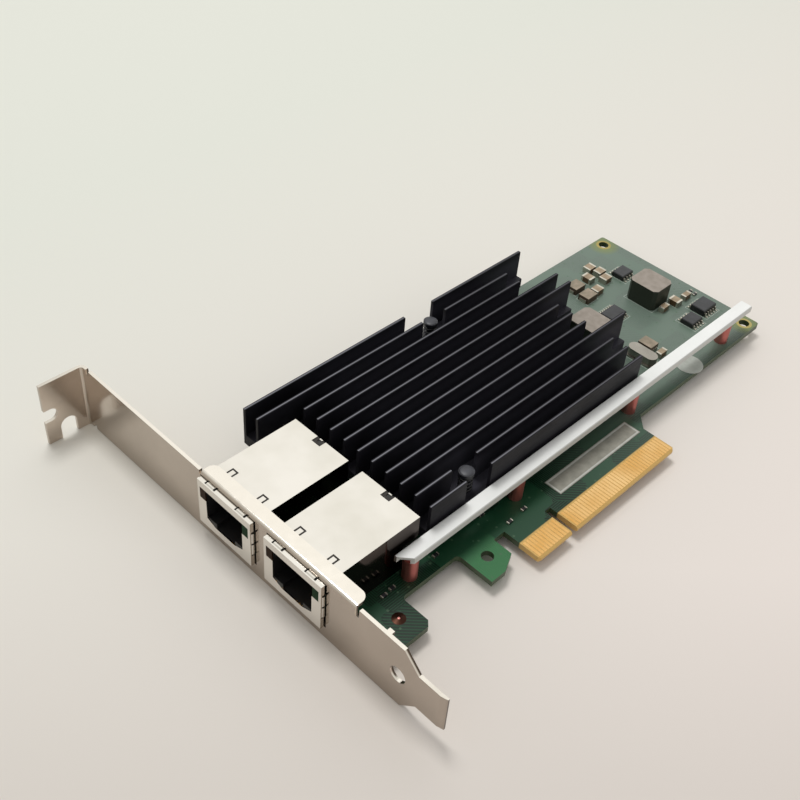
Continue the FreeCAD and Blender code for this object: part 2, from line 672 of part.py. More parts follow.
def jack_shield(name, low_side):
    """Formed shield: open below, shaped opening in front, lanced marks above, sprung fingers."""
    body = new_body(name)
    front = new_sketch(body, "YZ_Plane")
    draw_box(front, 0, dim.jack_wide, 0, jack_tall)
    pad(body, front, jack_long)
    hollow = new_sketch(body, "YZ_Plane", shell)
    draw_box(hollow, shell, dim.jack_wide - shell, -1, inner_high)
    cut(body, hollow, jack_long - shell * 2, back=True)
    opening = new_sketch(body, "YZ_Plane")
    draw(opening, [
        (middle - dim.latch_wide / 2, dim.latch_low),
        (middle + dim.latch_wide / 2, dim.latch_low),
        (middle + dim.port_wide / 2, dim.port_low),
        (middle + dim.port_wide / 2, dim.light_low),
        (middle + light_out, dim.light_low),
        (middle + light_out, dim.port_high),
        (middle - light_out, dim.port_high),
        (middle - light_out, dim.light_low),
        (middle - dim.port_wide / 2, dim.light_low),
        (middle - dim.port_wide / 2, dim.port_low),
    ])
    cut(body, opening, shell, back=True)
    marks = new_sketch(body, "XY_Plane", inner_high)
    near = dim.jack_front + dim.mark_place
    far = near + dim.mark_wide
    for place in (middle - dim.mark_offset, middle + dim.mark_offset):
        left = place - dim.mark_wide / 2
        right = place + dim.mark_wide / 2
        draw(marks, [
            (near, left),
            (far, left),
            (far, right),
            (near, right),
            (near, right - shell),
            (far - shell, right - shell),
            (far - shell, left + shell),
            (near, left + shell),
        ])
    half_slit = dim.finger_slit / 2
    for place in (-dim.finger_outer, -dim.finger_inner, dim.finger_inner, dim.finger_outer):
        draw_box(marks, shell, dim.jack_front, middle + place - half_slit, middle + place + half_slit)
    half_notch = dim.notch_wide / 2
    draw_box(marks, jack_long - dim.notch_deep, jack_long + 1, middle - half_notch, middle + half_notch)
    cut(body, marks, shell, back=True)
    finger_wide = dim.finger_outer - dim.finger_inner - dim.finger_slit
    for place in (middle + dim.finger_outer - half_slit, middle - dim.finger_inner - half_slit):
        finger = new_sketch(body, "XZ_Plane", -place)
        draw(finger, [
            (shell, jack_tall),
            (dim.jack_front, jack_tall),
            (dim.jack_front - shell, jack_tall + dim.finger_rise),
            (shell * 2, jack_tall + dim.finger_rise),
        ])
        pad(body, finger, finger_wide)
    slits = new_sketch(body, "XZ_Plane")
    for row in range(3):
        start = dim.side_slit_low + dim.side_slit_step * row
        draw_box(slits, shell, dim.jack_front, start, start + dim.finger_slit)
    cut(body, slits)
    for row in range(2):
        start = dim.side_slit_low + dim.finger_slit + dim.side_slit_step * row
        fingers = new_sketch(body, "XY_Plane", start)
        for wall, outward in ((size(0), -1), (dim.jack_wide, 1)):
            crest = wall + dim.finger_rise * outward
            draw(fingers, [
                (shell, wall),
                (dim.jack_front, wall),
                (dim.jack_front - shell, crest),
                (shell * 2, crest),
            ])
        pad(body, fingers, dim.side_slit_step - dim.finger_slit)
    stud = new_sketch(body, "XY_Plane", inner_high)
    half_stud = dim.stud_wide / 2
    draw_box(stud, jack_long - shell, jack_long, middle - half_stud, middle + half_stud)
    pad(body, stud, shell)
    seat(body, -dim.jack_front, low_side, 0)


def jack_housing(name, low_side):
    """Moulded housing: plug opening with its latch recess, and two channels for light pipes."""
    body = new_body(name)
    outside = new_sketch(body, "YZ_Plane", shell)
    draw_box(outside, shell, dim.jack_wide - shell, 0, inner_high)
    pad(body, outside, dim.housing_rear - shell)
    port = new_sketch(body, "YZ_Plane", shell)
    draw(port, [
        (middle - dim.latch_wide / 2, dim.latch_low),
        (middle + dim.latch_wide / 2, dim.latch_low),
        (middle + dim.latch_wide / 2, dim.port_low),
        (middle + dim.port_wide / 2, dim.port_low),
        (middle + dim.port_wide / 2, dim.port_high),
        (middle - dim.port_wide / 2, dim.port_high),
        (middle - dim.port_wide / 2, dim.port_low),
        (middle - dim.latch_wide / 2, dim.port_low),
    ])
    cut(body, port, dim.port_deep, back=True)
    channels = new_sketch(body, "YZ_Plane", shell)
    draw_box(channels, middle + light_in, middle + light_out, dim.light_low, dim.port_high)
    draw_box(channels, middle - light_out, middle - light_in, dim.light_low, dim.port_high)
    cut(body, channels, dim.port_deep, back=True)
    seat(body, -dim.jack_front, low_side, 0)


def light_pipes(low_side):
    """Two clear light pipes that fill the channels and end flush with the shield's face."""
    length = (shell + dim.port_deep).value
    width = (light_out - light_in).value
    height = (dim.port_high - dim.light_low).value
    pipes = []
    for offset in (light_in.value, -light_out.value):
        corner = Vector(-dim.jack_front.value, (low_side + middle).value + offset, dim.light_low.value)
        pipes.append(Part.makeBox(length, width, height, corner))
    return pipes


def contact_wires(low_side):
    """Eight sprung wires that slope down and back from the roof of the plug opening."""
    roof = dim.port_high.value
    thick = dim.wire_thick.value
    start = (dim.wire_start - dim.jack_front).value
    end = (dim.wire_end - dim.jack_front).value
    drop = dim.wire_low.value
    wires = []
    for index in range(8):
        side = (low_side + middle).value + (index - 3.5) * dim.wire_pitch.value - dim.wire_wide.value / 2
        corners = [
            (start, roof), (start + 1.2, roof), (end, drop + thick), (end + 1.6, drop + thick * 2),
            (end + 1.6, drop + thick), (end, drop), (start, roof - thick),
        ]
        face = Part.Face(Part.makePolygon([Vector(x, side, z) for x, z in corners + corners[:1]]))
        wires.append(face.extrude(Vector(0, dim.wire_wide.value, 0)))
    return wires


for level, low_side in (("upper", dim.upper_jack_y), ("lower", dim.lower_jack_y)):
    jack_shield(f"{level}_jack_shield", low_side)
    jack_housing(f"{level}_jack_housing", low_side)
    group(f"{level}_jack_light_pipes", light_pipes(low_side))
    group(f"{level}_jack_contact_wires", contact_wires(low_side))
    magnetics = doc.addObject("Part::Box", f"{level}_jack_magnetics")
    magnetics.Label = f"{level}_jack_magnetics"
    bind(magnetics, "Length", jack_long - dim.housing_rear - shell)
    bind(magnetics, "Width", dim.jack_wide - shell * 2)
    bind(magnetics, "Height", inner_high)
    seat(magnetics, dim.housing_rear - dim.jack_front, low_side + shell, 0)
    sub_parts.append(magnetics)

# Heatsink: an extruded comb, then milled bays, in the card frame

sink = new_body("heatsink")
base_top = dim.sink_low + dim.sink_base
fin_rows = dim.fin_count - 1
lowest_fin = dim.sink_top - fin_rows * dim.fin_pitch - dim.fin_thick
sink_bottom = lowest_fin
body_front = dim.jack_rear + dim.jack_bay
bay_front = dim.sink_rear - dim.rear_bay


def fin_side(row, offset=0.5):
    """Y in the gap above (0.5) or at the lower face (0) of a fin, counted from the top fin."""
    return dim.sink_top - dim.fin_thick - dim.fin_pitch * row + (dim.fin_pitch + dim.fin_thick) * offset


comb = new_sketch(sink, "YZ_Plane", dim.sink_front)
draw_box(comb, sink_bottom, dim.sink_top, dim.sink_low, base_top)
pad(sink, comb, dim.sink_rear - dim.sink_front)
fin = new_sketch(sink, "YZ_Plane", dim.sink_front)
draw_box(fin, lowest_fin, lowest_fin + dim.fin_thick, base_top, dim.fin_top)
first_fin = pad(sink, fin, dim.sink_rear - dim.sink_front)
fins = sink.newObject("PartDesign::LinearPattern", "Fins")
fins.Originals = [first_fin]
fins.Direction = (fin, ["H_Axis"])
bind(fins, "Length", fin_rows * dim.fin_pitch)
bind(fins, "Occurrences", dim.fin_count)
sink.Tip = fins
doc.recompute()

bay = new_sketch(sink, "XY_Plane", dim.sink_low)
jack_side = fin_side(1, 0) - dim.sink_edge
draw_box(bay, dim.sink_front - 1, body_front, sink_bottom - 1, jack_side)
draw_box(bay, bay_front, dim.sink_rear + 1, fin_side(3), fin_side(1))
draw_box(bay, bay_front, dim.sink_rear + 1, fin_side(8), fin_side(5))
draw_box(bay, bay_front, dim.sink_rear + 1, sink_bottom - 1, fin_side(9))
cut(sink, bay, back=True)

pin_bay = new_sketch(sink, "XY_Plane", base_top)
half_bay = dim.pin_bay_long / 2
draw_box(pin_bay, dim.pin_upper_x - half_bay, dim.pin_upper_x + half_bay, fin_side(2), fin_side(1))
outer_start = dim.pin_upper_x - half_bay - dim.outer_fin_room
draw_box(pin_bay, outer_start, dim.pin_upper_x + half_bay, fin_side(1), dim.sink_top + 1)
draw_box(pin_bay, dim.pin_lower_x - half_bay, dim.pin_lower_x + half_bay, sink_bottom - 1, fin_side(10))
cut(sink, pin_bay, back=True)

pin_holes = new_sketch(sink, "XY_Plane", dim.sink_low)
for x, y in pin_places:
    draw_circle(pin_holes, x, y, dim.pin_shank + dim.pin_play * 2)
cut(sink, pin_holes, back=True)
seat(sink)


def push_pin(x, y):
    """A pin with a round head, and a pointed barb that has snapped below the board."""
    shank = dim.pin_shank.value / 2
    head = dim.pin_head.value / 2
    top = dim.pin_top.value
    under = -dim.board_thick.value
    tail = under - dim.pin_tail.value
    barb = shank + dim.pin_play.value * 2
    brim = top - dim.pin_head_tall.value
    return turned_solid(x.value, y.value, [
        (0, top), (head, top), (head, brim), (shank, brim),
        (shank, under), (barb, under), (0, tail),
    ])


def pin_spring(x, y):
    """A coil spring between the heatsink's base and the pin's head, in short straight steps."""
    wire = dim.spring_wire.value
    radius = (dim.spring_wide.value - wire) / 2
    low_end = base_top.value + wire / 2
    high_end = (dim.pin_top - dim.pin_head_tall).value - wire / 2
    turn_steps = 8
    steps = int(dim.spring_turns.value) * turn_steps
    path = []
    for step in range(steps + 1):
        turn = 2 * math.pi * step / turn_steps
        rise = min(max(step - 1, 0) / (steps - 2), 1)
        height = low_end + (high_end - low_end) * rise
        spot = Vector(radius * math.cos(turn), radius * math.sin(turn), height)
        path.append(spot + Vector(x.value, y.value, 0))
    sideways = (path[1] - path[0]).cross(Vector(0, 0, 1)).normalize()
    corners = []
    for index in range(4):
        angle = math.pi * (0.5 + index / 2)
        offset = sideways * math.cos(angle) + Vector(0, 0, math.sin(angle))
        corners.append(path[0] + offset * (wire / 2))
    section = Part.makePolygon(corners + corners[:1])
    return Part.Wire(Part.makePolygon(path)).makePipeShell([section], True, False, 1)


group("heatsink_push_pins", [push_pin(x, y) for x, y in pin_places])
group("push_pin_springs", [pin_spring(x, y) for x, y in pin_places])

# Stiffener bar: a folded channel on four posts

bar = new_body("stiffener_bar")
bar_high = dim.bar_low + dim.bar_wide
bar_under = dim.bar_top - dim.bar_tall
channel = new_sketch(bar, "YZ_Plane", dim.bar_front)
draw(channel, [
    (dim.bar_low, bar_under),
    (dim.bar_low + dim.bar_wall, bar_under),
    (dim.bar_low + dim.bar_wall, dim.bar_top - dim.bar_wall),
    (bar_high - dim.bar_wall, dim.bar_top - dim.bar_wall),
    (bar_high - dim.bar_wall, bar_under),
    (bar_high, bar_under),
    (bar_high, dim.bar_top),
    (dim.bar_low, dim.bar_top),
])
pad(bar, channel, bar_rear - dim.bar_front)
slant = new_sketch(bar, "XY_Plane", bar_under)
draw(slant, [
    (dim.bar_front - 1, dim.bar_low - 1),
    (dim.bar_front + dim.bar_cut, dim.bar_low - 1),
    (dim.bar_front + dim.bar_cut, dim.bar_low),
    (dim.bar_front, bar_high - dim.bar_wall),
    (dim.bar_front - 1, bar_high - dim.bar_wall),
])
cut(bar, slant, back=True)
bar_top_z = dim.bar_top.value
fillet(
    bar,
    lambda a, b: min(a.z, b.z) > bar_top_z - 1e-6 and abs(a.y - b.y) < 1e-6 and abs(a.x - b.x) > 10,
    dim.bar_wall / 2,
)
seat(bar)


def post(x):
    """A post that carries the bar, with a neck between the bar's two sides."""
    wide = dim.post_wide.value / 2
    neck = dim.post_neck.value / 2
    bore = dim.post_screw.value / 2
    shoulder = bar_under.value
    roof = (dim.bar_top - dim.bar_wall).value
    return turned_solid(x.value, post_y.value, [
        (bore, 0), (wide, 0), (wide, shoulder), (neck, shoulder),
        (neck, roof), (0, roof), (0, shoulder), (bore, shoulder),
    ])


def post_screw(x):
    """A flat-headed screw from the back of the board into a post."""
    shank = dim.post_screw.value / 2
    under = -dim.board_thick.value
    return turned_solid(x.value, post_y.value, [
        (0, bar_under.value), (shank, bar_under.value), (shank, under), (shank * 2.2, under),
        (shank * 2, under - 0.9), (0, under - 0.9),
    ])


group("stiffener_posts", [post(x) for x in post_places])
group("stiffener_screws", [post_screw(x) for x in post_places])

# Chips under the heatsink

chip_x = dim.chip_x.value
chip_y = dim.chip_y.value
chip_base = dim.chip_base.value
substrate = doc.addObject("Part::Box", "controller_substrate")
substrate.Label = "controller_substrate"
bind(substrate, "Length", dim.chip_wide)
bind(substrate, "Width", dim.chip_wide)
bind(substrate, "Height", dim.chip_base)
seat(substrate, dim.chip_x - dim.chip_wide / 2, dim.chip_y - dim.chip_wide / 2, 0)
sub_parts.append(substrate)

lid = new_body("controller_lid")
brim = new_sketch(lid, "XY_Plane", dim.chip_base)
half_lid = dim.lid_wide / 2
draw_box(brim, dim.chip_x - half_lid, dim.chip_x + half_lid, dim.chip_y - half_lid, dim.chip_y + half_lid)
pad(lid, brim, dim.lid_tall / 2)
crown = new_sketch(lid, "XY_Plane", dim.chip_base + dim.lid_tall / 2)
half_crown = half_lid - dim.lid_brim
crown_x = dim.chip_x - half_crown
crown_y = dim.chip_y - half_crown
draw_box(crown, crown_x, crown_x + half_crown * 2, crown_y, crown_y + half_crown * 2)
pad(lid, crown, dim.lid_tall / 2)
seat(lid)

lid_top = (dim.chip_base + dim.lid_tall).value
crown_wide = half_crown.value * 2
pad_tall = dim.sink_low.value - lid_top
group("controller_thermal_pad", [block(chip_x, chip_y, lid_top, crown_wide, crown_wide, pad_tall)])

phy_x = dim.phy_x.value
phy_places = (dim.phy_low.value, dim.phy_high.value)
phy_tall = dim.phy_tall.value
phy_wide = dim.phy_wide.value
group("transceiver_chips", [block(phy_x, y, 0, phy_wide, phy_wide, phy_tall) for y in phy_places])
pad_wide = phy_wide - dim.phy_pad_in.value * 2
pad_tall = dim.sink_low.value - phy_tall
pads = [block(phy_x, y, phy_tall, pad_wide, pad_wide, pad_tall) for y in phy_places]
group("transceiver_thermal_pads", pads)


def power_coil(name, x):
    """A moulded ferrite block with chamfered corners."""
    body = new_body(name)
    plan_view = new_sketch(body, "XY_Plane")
    half_wide = dim.coil_wide / 2
    half_long = dim.coil_long / 2
    corner = dim.coil_wide / 8
    draw(plan_view, [
        (x - half_wide + corner, dim.coil_y - half_long),
        (x + half_wide - corner, dim.coil_y - half_long),
        (x + half_wide, dim.coil_y - half_long + corner),
        (x + half_wide, dim.coil_y + half_long - corner),
        (x + half_wide - corner, dim.coil_y + half_long),
        (x - half_wide + corner, dim.coil_y + half_long),
        (x - half_wide, dim.coil_y + half_long - corner),
        (x - half_wide, dim.coil_y - half_long + corner),
    ])
    pad(body, plan_view, dim.coil_tall)
    seat(body)


rear_coil_x = dim.board_rear - dim.rear_coil_in
middle_coil_x = bay_front + dim.coil_gap + dim.coil_wide / 2
power_coil("rear_power_inductor", rear_coil_x)
power_coil("middle_power_inductor", middle_coil_x)


def gull_lead(x, y, outward, width, rise, reach):
    """One lead that leaves a package's side, steps down and lies on the board."""
    thick = 0.2
    corners = [(0, rise), (0.4, rise), (0.4 + thick, thick), (reach, thick), (reach, 0), (0.4, 0)]
    corners.append((0, rise - thick))
    side = [Vector(x - width / 2, y + outward * s, z) for s, z in corners + corners[:1]]
    return Part.Face(Part.makePolygon(side)).extrude(Vector(width, 0, 0))


def small_chip(x, y, length, width, height, pitch):
    """A moulded package and its two rows of leads along X."""
    package = block(x, y, 0.15, length, width, height - 0.15)
    upper = [edge for edge in package.Edges if min(v.Point.z for v in edge.Vertexes) > height - 1e-6]
    package = package.makeChamfer(0.2, upper)
    pins = round(length / pitch)
    leads = []
    for index in range(pins):
        place = x + (index - (pins - 1) / 2) * pitch
        for outward in (1, -1):
            leads.append(gull_lead(place, y + outward * width / 2, outward, pitch * 0.36, height * 0.55, 1.1))
    return package, leads


def rear_part(inward, up):
    """X and Y of a place given from the board's rear edge and from its lower edge."""
    return (dim.board_rear - inward).value, (dim.body_edge + up).value


eight_lead = (5.0, 3.9, 1.6, 1.27)
power_stage = (6.0, 4.6, 2.0, 1.2)
regulator = (6.4, 4.4, 1.2, 0.9)
chips = [
    (*rear_part(14.6, 13.3), *eight_lead),
    (*rear_part(6.9, 14.6), *power_stage),
    (*rear_part(11.6, 39.8), *eight_lead),
    (*rear_part(36.5, 49.4), *eight_lead),
]
between_coils = ((rear_coil_x + middle_coil_x) / 2).value
chips.append((between_coils, (dim.coil_y + dim.regulator_up).value, *regulator))
packages = []
leads = []
for chip in chips:
    package, its_leads = small_chip(*chip)
    packages.append(package)
    leads += its_leads
group("small_chip_packages", packages)
group("small_chip_leads", leads)


def chip_part(x, y, length, width, height, turned=False):
    """A small two-ended part: its block and its two metal end caps."""
    cap = length * 0.18
    body = block(x, y, 0, length - cap * 2, width, height, turned)
    reach = length / 2 - cap / 2
    dx, dy = (0, reach) if turned else (reach, 0)
    caps = [block(x + side * dx, y + side * dy, 0, cap, width, height, turned) for side in (1, -1)]
    return body, caps


def chip_parts(name, ends_name, kind, places):
    """Two groups, of blocks and of end caps, for all parts of one kind."""
    blocks = []
    ends = []
    for x, y, turned in places:
        body, caps = chip_part(x, y, *kind, turned)
        blocks.append(body)
        ends += caps
    group(name, blocks)
    group(ends_name, ends)


along = False
across = True
wide_places = [
    (17.7, 47.4, along),
    (16.9, 44.3, along),
    (18.1, 41.2, along),
    (24.5, 39.3, along),
    (21.9, 44.6, across),
    (11.1, 21.3, across),
]
narrow_places = [
    (16.1, 21.7, along),
    (6.4, 20.8, along),
    (33.5, 10.4, along),
    (36.1, 26.7, across),
]
rear_rows = [(25.5 - 3.2 * index, 6.5) for index in range(3)]
rear_rows += [(9.5, 28.9 + 2.4 * index) for index in range(3)]
rear_rows += [(2.9, 20.0 + 1.6 * index) for index in range(2)]
small_places = [(14.4, 15.9), (17.1, 16.2), (30.6, 16.2), (47.1, 17.4), (50.4, 11.6), (55.8, 12.0)]
small_places += [rear_part(inward, up) for inward, up in rear_rows]
wide_kind = (3.2, 2.5, 1.7)
narrow_kind = (3.2, 1.6, 1.6)
wide_places = [(*rear_part(inward, up), turned) for inward, up, turned in wide_places]
narrow_places = [(*rear_part(inward, up), turned) for inward, up, turned in narrow_places]
chip_parts("wide_ceramic_capacitors", "wide_capacitor_ends", wide_kind, wide_places)
chip_parts("narrow_ceramic_capacitors", "narrow_capacitor_ends", narrow_kind, narrow_places)
small_places = [(x, y, along) for x, y in small_places]
chip_parts("small_resistors", "small_resistor_ends", (1.6, 0.8, 0.5), small_places)

polymer_places = [(28.9, 39.3, along), (28.1, 44.3, along), (33.5, 14.9, across)]
polymer_places = [(*rear_part(inward, up), turned) for inward, up, turned in polymer_places]
polymer_long = 4.3
terminal = 0.3
terminals = []
for x, y, turned in polymer_places:
    for side in (1, -1):
        reach = side * (polymer_long + terminal) / 2
        dx, dy = (0, reach) if turned else (reach, 0)
        terminals.append(block(x + dx, y + dy, 0, terminal, 2.2, 1.0, turned))
polymer_blocks = [block(x, y, 0, polymer_long, 3.5, 1.9, turned) for x, y, turned in polymer_places]
group("polymer_capacitors", polymer_blocks)
group("polymer_capacitor_ends", terminals)


def round_ended(x, y, base, length, width, height):
    """A block along Y with round ends."""
    radius = width / 2
    half = length / 2 - radius
    solid = block(x, y, base, width, half * 2, height)
    for end in (half, -half):
        solid = solid.fuse(Part.makeCylinder(radius, height, Vector(x, y + end, base)))
    return solid.removeSplitter()


can_x, can_y = rear_part(38.7, 13.1)
can = round_ended(can_x, can_y, 0, 9.6, 4.4, 0.5)
group("crystal_can", [can.fuse(round_ended(can_x, can_y, 0.5, 8.8, 3.6, 2.2))])

group("flash_memory", [block(38.0, 57.0, 0, 5.2, 5.2, 1.8)])
group("crystal_oscillators", [block(44.0, 50.0, 0, 3.2, 2.5, 0.9), block(70.0, 60.0, 0, 5.0, 3.2, 1.1)])
back_places = [(chip_x - 6 + 4 * column, chip_y - 6 + 4 * line) for column in range(4) for line in range(4)]
under = -dim.board_thick.value - 0.5
group("back_capacitors", [block(x, y, under, 1.6, 0.8, 0.5) for x, y in back_places])

label = doc.addObject("Part::Box", "part_label")
label.Label = "part_label"
bind(label, "Length", dim.label_long)
bind(label, "Width", dim.label_tall)
bind(label, "Height", dim.label_thick)
seat(label, dim.label_front, dim.label_low, 0)
sub_parts.append(label)

disc = doc.addObject("Part::Cylinder", "round_label")
disc.Label = "round_label"
bind(disc, "Radius", dim.round_label / 2)
bind(disc, "Height", dim.label_thick)
seat(disc, dim.board_rear - dim.round_label_in, dim.round_label_y, 0)
sub_parts.append(disc)

doc.recompute()
for item in doc.Objects:
    if "Invalid" in item.State or "Error" in item.State:
        raise RuntimeError(f"{item.Label} did not build")
for item in sub_parts:
    if item.Shape.isNull() or not item.Shape.isValid():
        raise RuntimeError(f"{item.Label} has no valid shape")

os.makedirs("parts", exist_ok=True)
for item in sub_parts:
    item.Shape.exportStep(f"parts/{item.Label}.step")
    print(item.Label, len(item.Shape.Solids), round(item.Shape.Volume, 2))
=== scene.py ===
import bpy
import math
from mathutils import Matrix, Vector


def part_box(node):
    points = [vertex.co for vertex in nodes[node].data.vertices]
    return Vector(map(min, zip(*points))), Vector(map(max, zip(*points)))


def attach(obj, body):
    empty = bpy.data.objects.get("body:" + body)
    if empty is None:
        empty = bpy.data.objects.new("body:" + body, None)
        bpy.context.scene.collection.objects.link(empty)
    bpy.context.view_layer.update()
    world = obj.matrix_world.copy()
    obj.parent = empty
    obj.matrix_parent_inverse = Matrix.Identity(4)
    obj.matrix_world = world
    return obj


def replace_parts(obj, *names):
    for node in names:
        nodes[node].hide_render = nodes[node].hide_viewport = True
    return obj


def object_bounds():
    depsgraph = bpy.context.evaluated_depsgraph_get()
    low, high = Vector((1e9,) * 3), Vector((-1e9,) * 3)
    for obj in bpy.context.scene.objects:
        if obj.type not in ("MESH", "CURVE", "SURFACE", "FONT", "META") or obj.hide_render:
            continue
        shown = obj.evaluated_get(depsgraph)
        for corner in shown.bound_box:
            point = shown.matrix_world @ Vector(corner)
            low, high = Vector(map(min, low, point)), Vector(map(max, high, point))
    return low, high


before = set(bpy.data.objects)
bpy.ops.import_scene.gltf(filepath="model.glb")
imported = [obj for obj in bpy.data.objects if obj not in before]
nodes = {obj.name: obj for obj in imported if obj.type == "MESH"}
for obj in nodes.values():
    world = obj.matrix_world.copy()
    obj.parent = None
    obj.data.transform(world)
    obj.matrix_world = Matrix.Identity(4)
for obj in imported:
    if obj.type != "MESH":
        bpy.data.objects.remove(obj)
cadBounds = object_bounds()
mm = 0.001
weld = 0.001 * mm  # points closer than this are one
noiseEnds = (0.3, 0.7)  # noise hardly leaves this range
wavePeriod = 0.314  # how long one wave is in a wave texture at scale 1
off, on = "#000000", "#FFFFFF"  # 0 and 1 of a pattern that colours are then laid by
print("frame loaded")


def linear(hexColour):
    # sRGB hex to the linear values that sockets take
    channels = [int(hexColour[i:i + 2], 16) / 255 for i in (1, 3, 5)]
    return tuple(c / 12.92 if c <= 0.04045 else ((c + 0.055) / 1.055) ** 2.4 for c in channels) + (1.0,)


def addNode(tree, kind, inputs=None, **settings):
    # one node: settings are its own values, and inputs are numbers, hex colours or what they are linked
    # from, where a node stands for its first output
    made = tree.nodes.new(kind)
    for name, value in settings.items():
        setattr(made, name, value)
    for socket, value in (inputs or {}).items():
        if isinstance(value, bpy.types.Node):
            value = value.outputs[0]
        if isinstance(value, bpy.types.NodeSocket):
            tree.links.new(value, made.inputs[socket])
        else:
            made.inputs[socket].default_value = linear(value) if isinstance(value, str) else value
    return made


def newMaterial(name):
    material = bpy.data.materials.new(name)
    material.use_nodes = True
    tree = material.node_tree
    return material, tree, tree.nodes["Principled BSDF"]


def setShader(shader, **values):
    for name, value in values.items():
        shader.inputs[name.replace("_", " ")].default_value = value


def objectPlace(tree, stretch=(1, 1, 1)):
    # object coordinates in millimetres, stretched for a grain
    coords = addNode(tree, "ShaderNodeTexCoord")
    scale = [along / mm for along in stretch]
    return addNode(tree, "ShaderNodeMapping", {"Vector": coords.outputs["Object"], "Scale": scale})


def splitPlace(tree):
    # where a point lies along X, Y and Z, in millimetres
    return addNode(tree, "ShaderNodeSeparateXYZ", {0: objectPlace(tree)}).outputs


def splitFacing(tree):
    # how far a face looks along X, Y and Z, from -1 to 1
    coords = addNode(tree, "ShaderNodeTexCoord")
    return addNode(tree, "ShaderNodeSeparateXYZ", {0: coords.outputs["Normal"]}).outputs


def layColour(tree, under, over, *masks):
    # one colour over another where every mask lets it; a mask is a value, the two ends of its range and,
    # where they aren't 0 and 1, what the ends give
    cover = None
    for value, *ends in masks:
        ranged = {"Value": value, **dict(zip(("From Min", "From Max", "To Min", "To Max"), ends))}
        mask = addNode(tree, "ShaderNodeMapRange", ranged)
        if cover:
            mask = addNode(tree, "ShaderNodeMath", {0: cover, 1: mask}, operation="MULTIPLY")
        cover = mask
    return addNode(tree, "ShaderNodeMix", {0: cover, 6: under, 7: over}, data_type="RGBA").outputs[2]


def finishSurface(tree, shader, colour, wear, rough, height, depth):
    # wear is a pattern spread over two roughness values, height one that stands depth millimetres high
    worn = {"Value": wear, "From Min": noiseEnds[0], "From Max": noiseEnds[1]}
    roughness = addNode(tree, "ShaderNodeMapRange", {**worn, "To Min": rough[0], "To Max": rough[1]})
    bump = addNode(tree, "ShaderNodeBump", {"Height": height, "Distance": depth * mm, "Strength": 1.0})
    tree.links.new(colour, shader.inputs["Base Color"])
    tree.links.new(roughness.outputs["Result"], shader.inputs["Roughness"])
    tree.links.new(bump.outputs["Normal"], shader.inputs["Normal"])


# Metals: low and high are clouds of colour; above is painted light on faces that look up, front is painted
# shade on those that look out past the bracket, and a third colour is painted shade on those that look down
# the card; grain is in lines per millimetre
metalFinishes = {
    # satin nickel over rolled steel: warm and even, with painted light on faces that look up, painted shade
    # on the bracket's outer face and darker painted shade on faces that look down the card
    "nickelPlatedSteelSatin": dict(
        low="#CFC2B6", high="#DBCEC3", above="#E4DED5", front="#B4A99E", edge="#5A4E44",
        rough=(0.14, 0.2), grain=(6, 0.3, 6), depth=0.0012,
    ),
    # tinned shield sheet: bright and nearly mirror-like, a little cloudy, with dark brown painted shade on
    # the side walls that look down the card
    "tinnedShieldSteelFormed": dict(
        low="#D8D4CC", high="#E4E0DA", edge="#33261E",
        rough=(0.07, 0.12), grain=(0.5, 5, 5), depth=0.0006,
    ),
    # folded strip under a milky coat: bright white and matt, with brown painted shade on its end, which looks
    # out past the bracket, and pale grey painted shade on the sides that look down the card
    "brightZincSteelFolded": dict(
        low="#EDEEEA", high="#F6F6F3", front="#6A5A50", edge="#CBCCC8", metal=0.1,
        rough=(0.5, 0.6), grain=(0.2, 7, 7), depth=0.0006,
    ),
    # hard gold over nickel: pinkish yellow and glossy, with faint lines along the contacts and ochre painted
    # shade on faces that look down the card
    "hardGoldPlating": dict(
        low="#CE9C55", high="#E2BC84", edge="#B88238",
        rough=(0.22, 0.32), grain=(3, 0.6, 3), depth=0.001,
    ),
    # turned copper-coloured posts: reddish and dull, with turning rings
    "copperColouredPostTurned": dict(
        low="#B46C66", high="#D8988F", edge="#B8706A",
        rough=(0.4, 0.55), grain=(2, 2, 9), depth=0.004,
    ),
    # rolled rivet: dark, oxidised copper with a soft shine
    "copperRivetRolled": dict(
        low="#2C1B15", high="#432C23", edge="#2C1B15",
        rough=(0.3, 0.45), grain=(3, 3, 3), depth=0.004,
    ),
    # copper ring under thin solder: olive-yellow, a little uneven
    "solderedCopperRing": dict(
        low="#9C8E52", high="#B5A972", edge="#9C8E52",
        rough=(0.3, 0.5), grain=(3, 3, 3), depth=0.006,
    ),
    # matt tin on leads and caps: warm light grey, blurred reflections, a little painted shade on faces that
    # look down the card
    "mattTinPlating": dict(
        low="#B4AFA4", high="#D2CDC2", edge="#A39E94",
        rough=(0.35, 0.5), grain=(4, 4, 4), depth=0.003,
    ),
    # drawn spring wire: dark grey, bright along its crest
    "springSteelDrawn": dict(
        low="#3A3A3C", high="#545456", edge="#3A3A3C",
        rough=(0.22, 0.35), grain=(5, 5, 5), depth=0.001,
    ),
    # chip lid: dull grey nickel
    "nickelPlatedLid": dict(
        low="#8A8A86", high="#A3A39E", edge="#8A8A86",
        rough=(0.3, 0.42), grain=(2, 2, 2), depth=0.002,
    ),
    # drawn crystal can: warm grey, between satin and bright, with darker painted shade on faces that look
    # down the card
    "drawnNickelCan": dict(
        low="#8F8B84", high="#A8A49C", edge="#6F6A64",
        rough=(0.24, 0.36), grain=(2, 2, 2), depth=0.002,
    ),
    # solder: bright but soft, a little uneven
    "solderFilletReflowed": dict(
        low="#9C9C98", high="#C2C2BE", edge="#9C9C98",
        rough=(0.22, 0.4), grain=(2, 2, 2), depth=0.01,
    ),
}
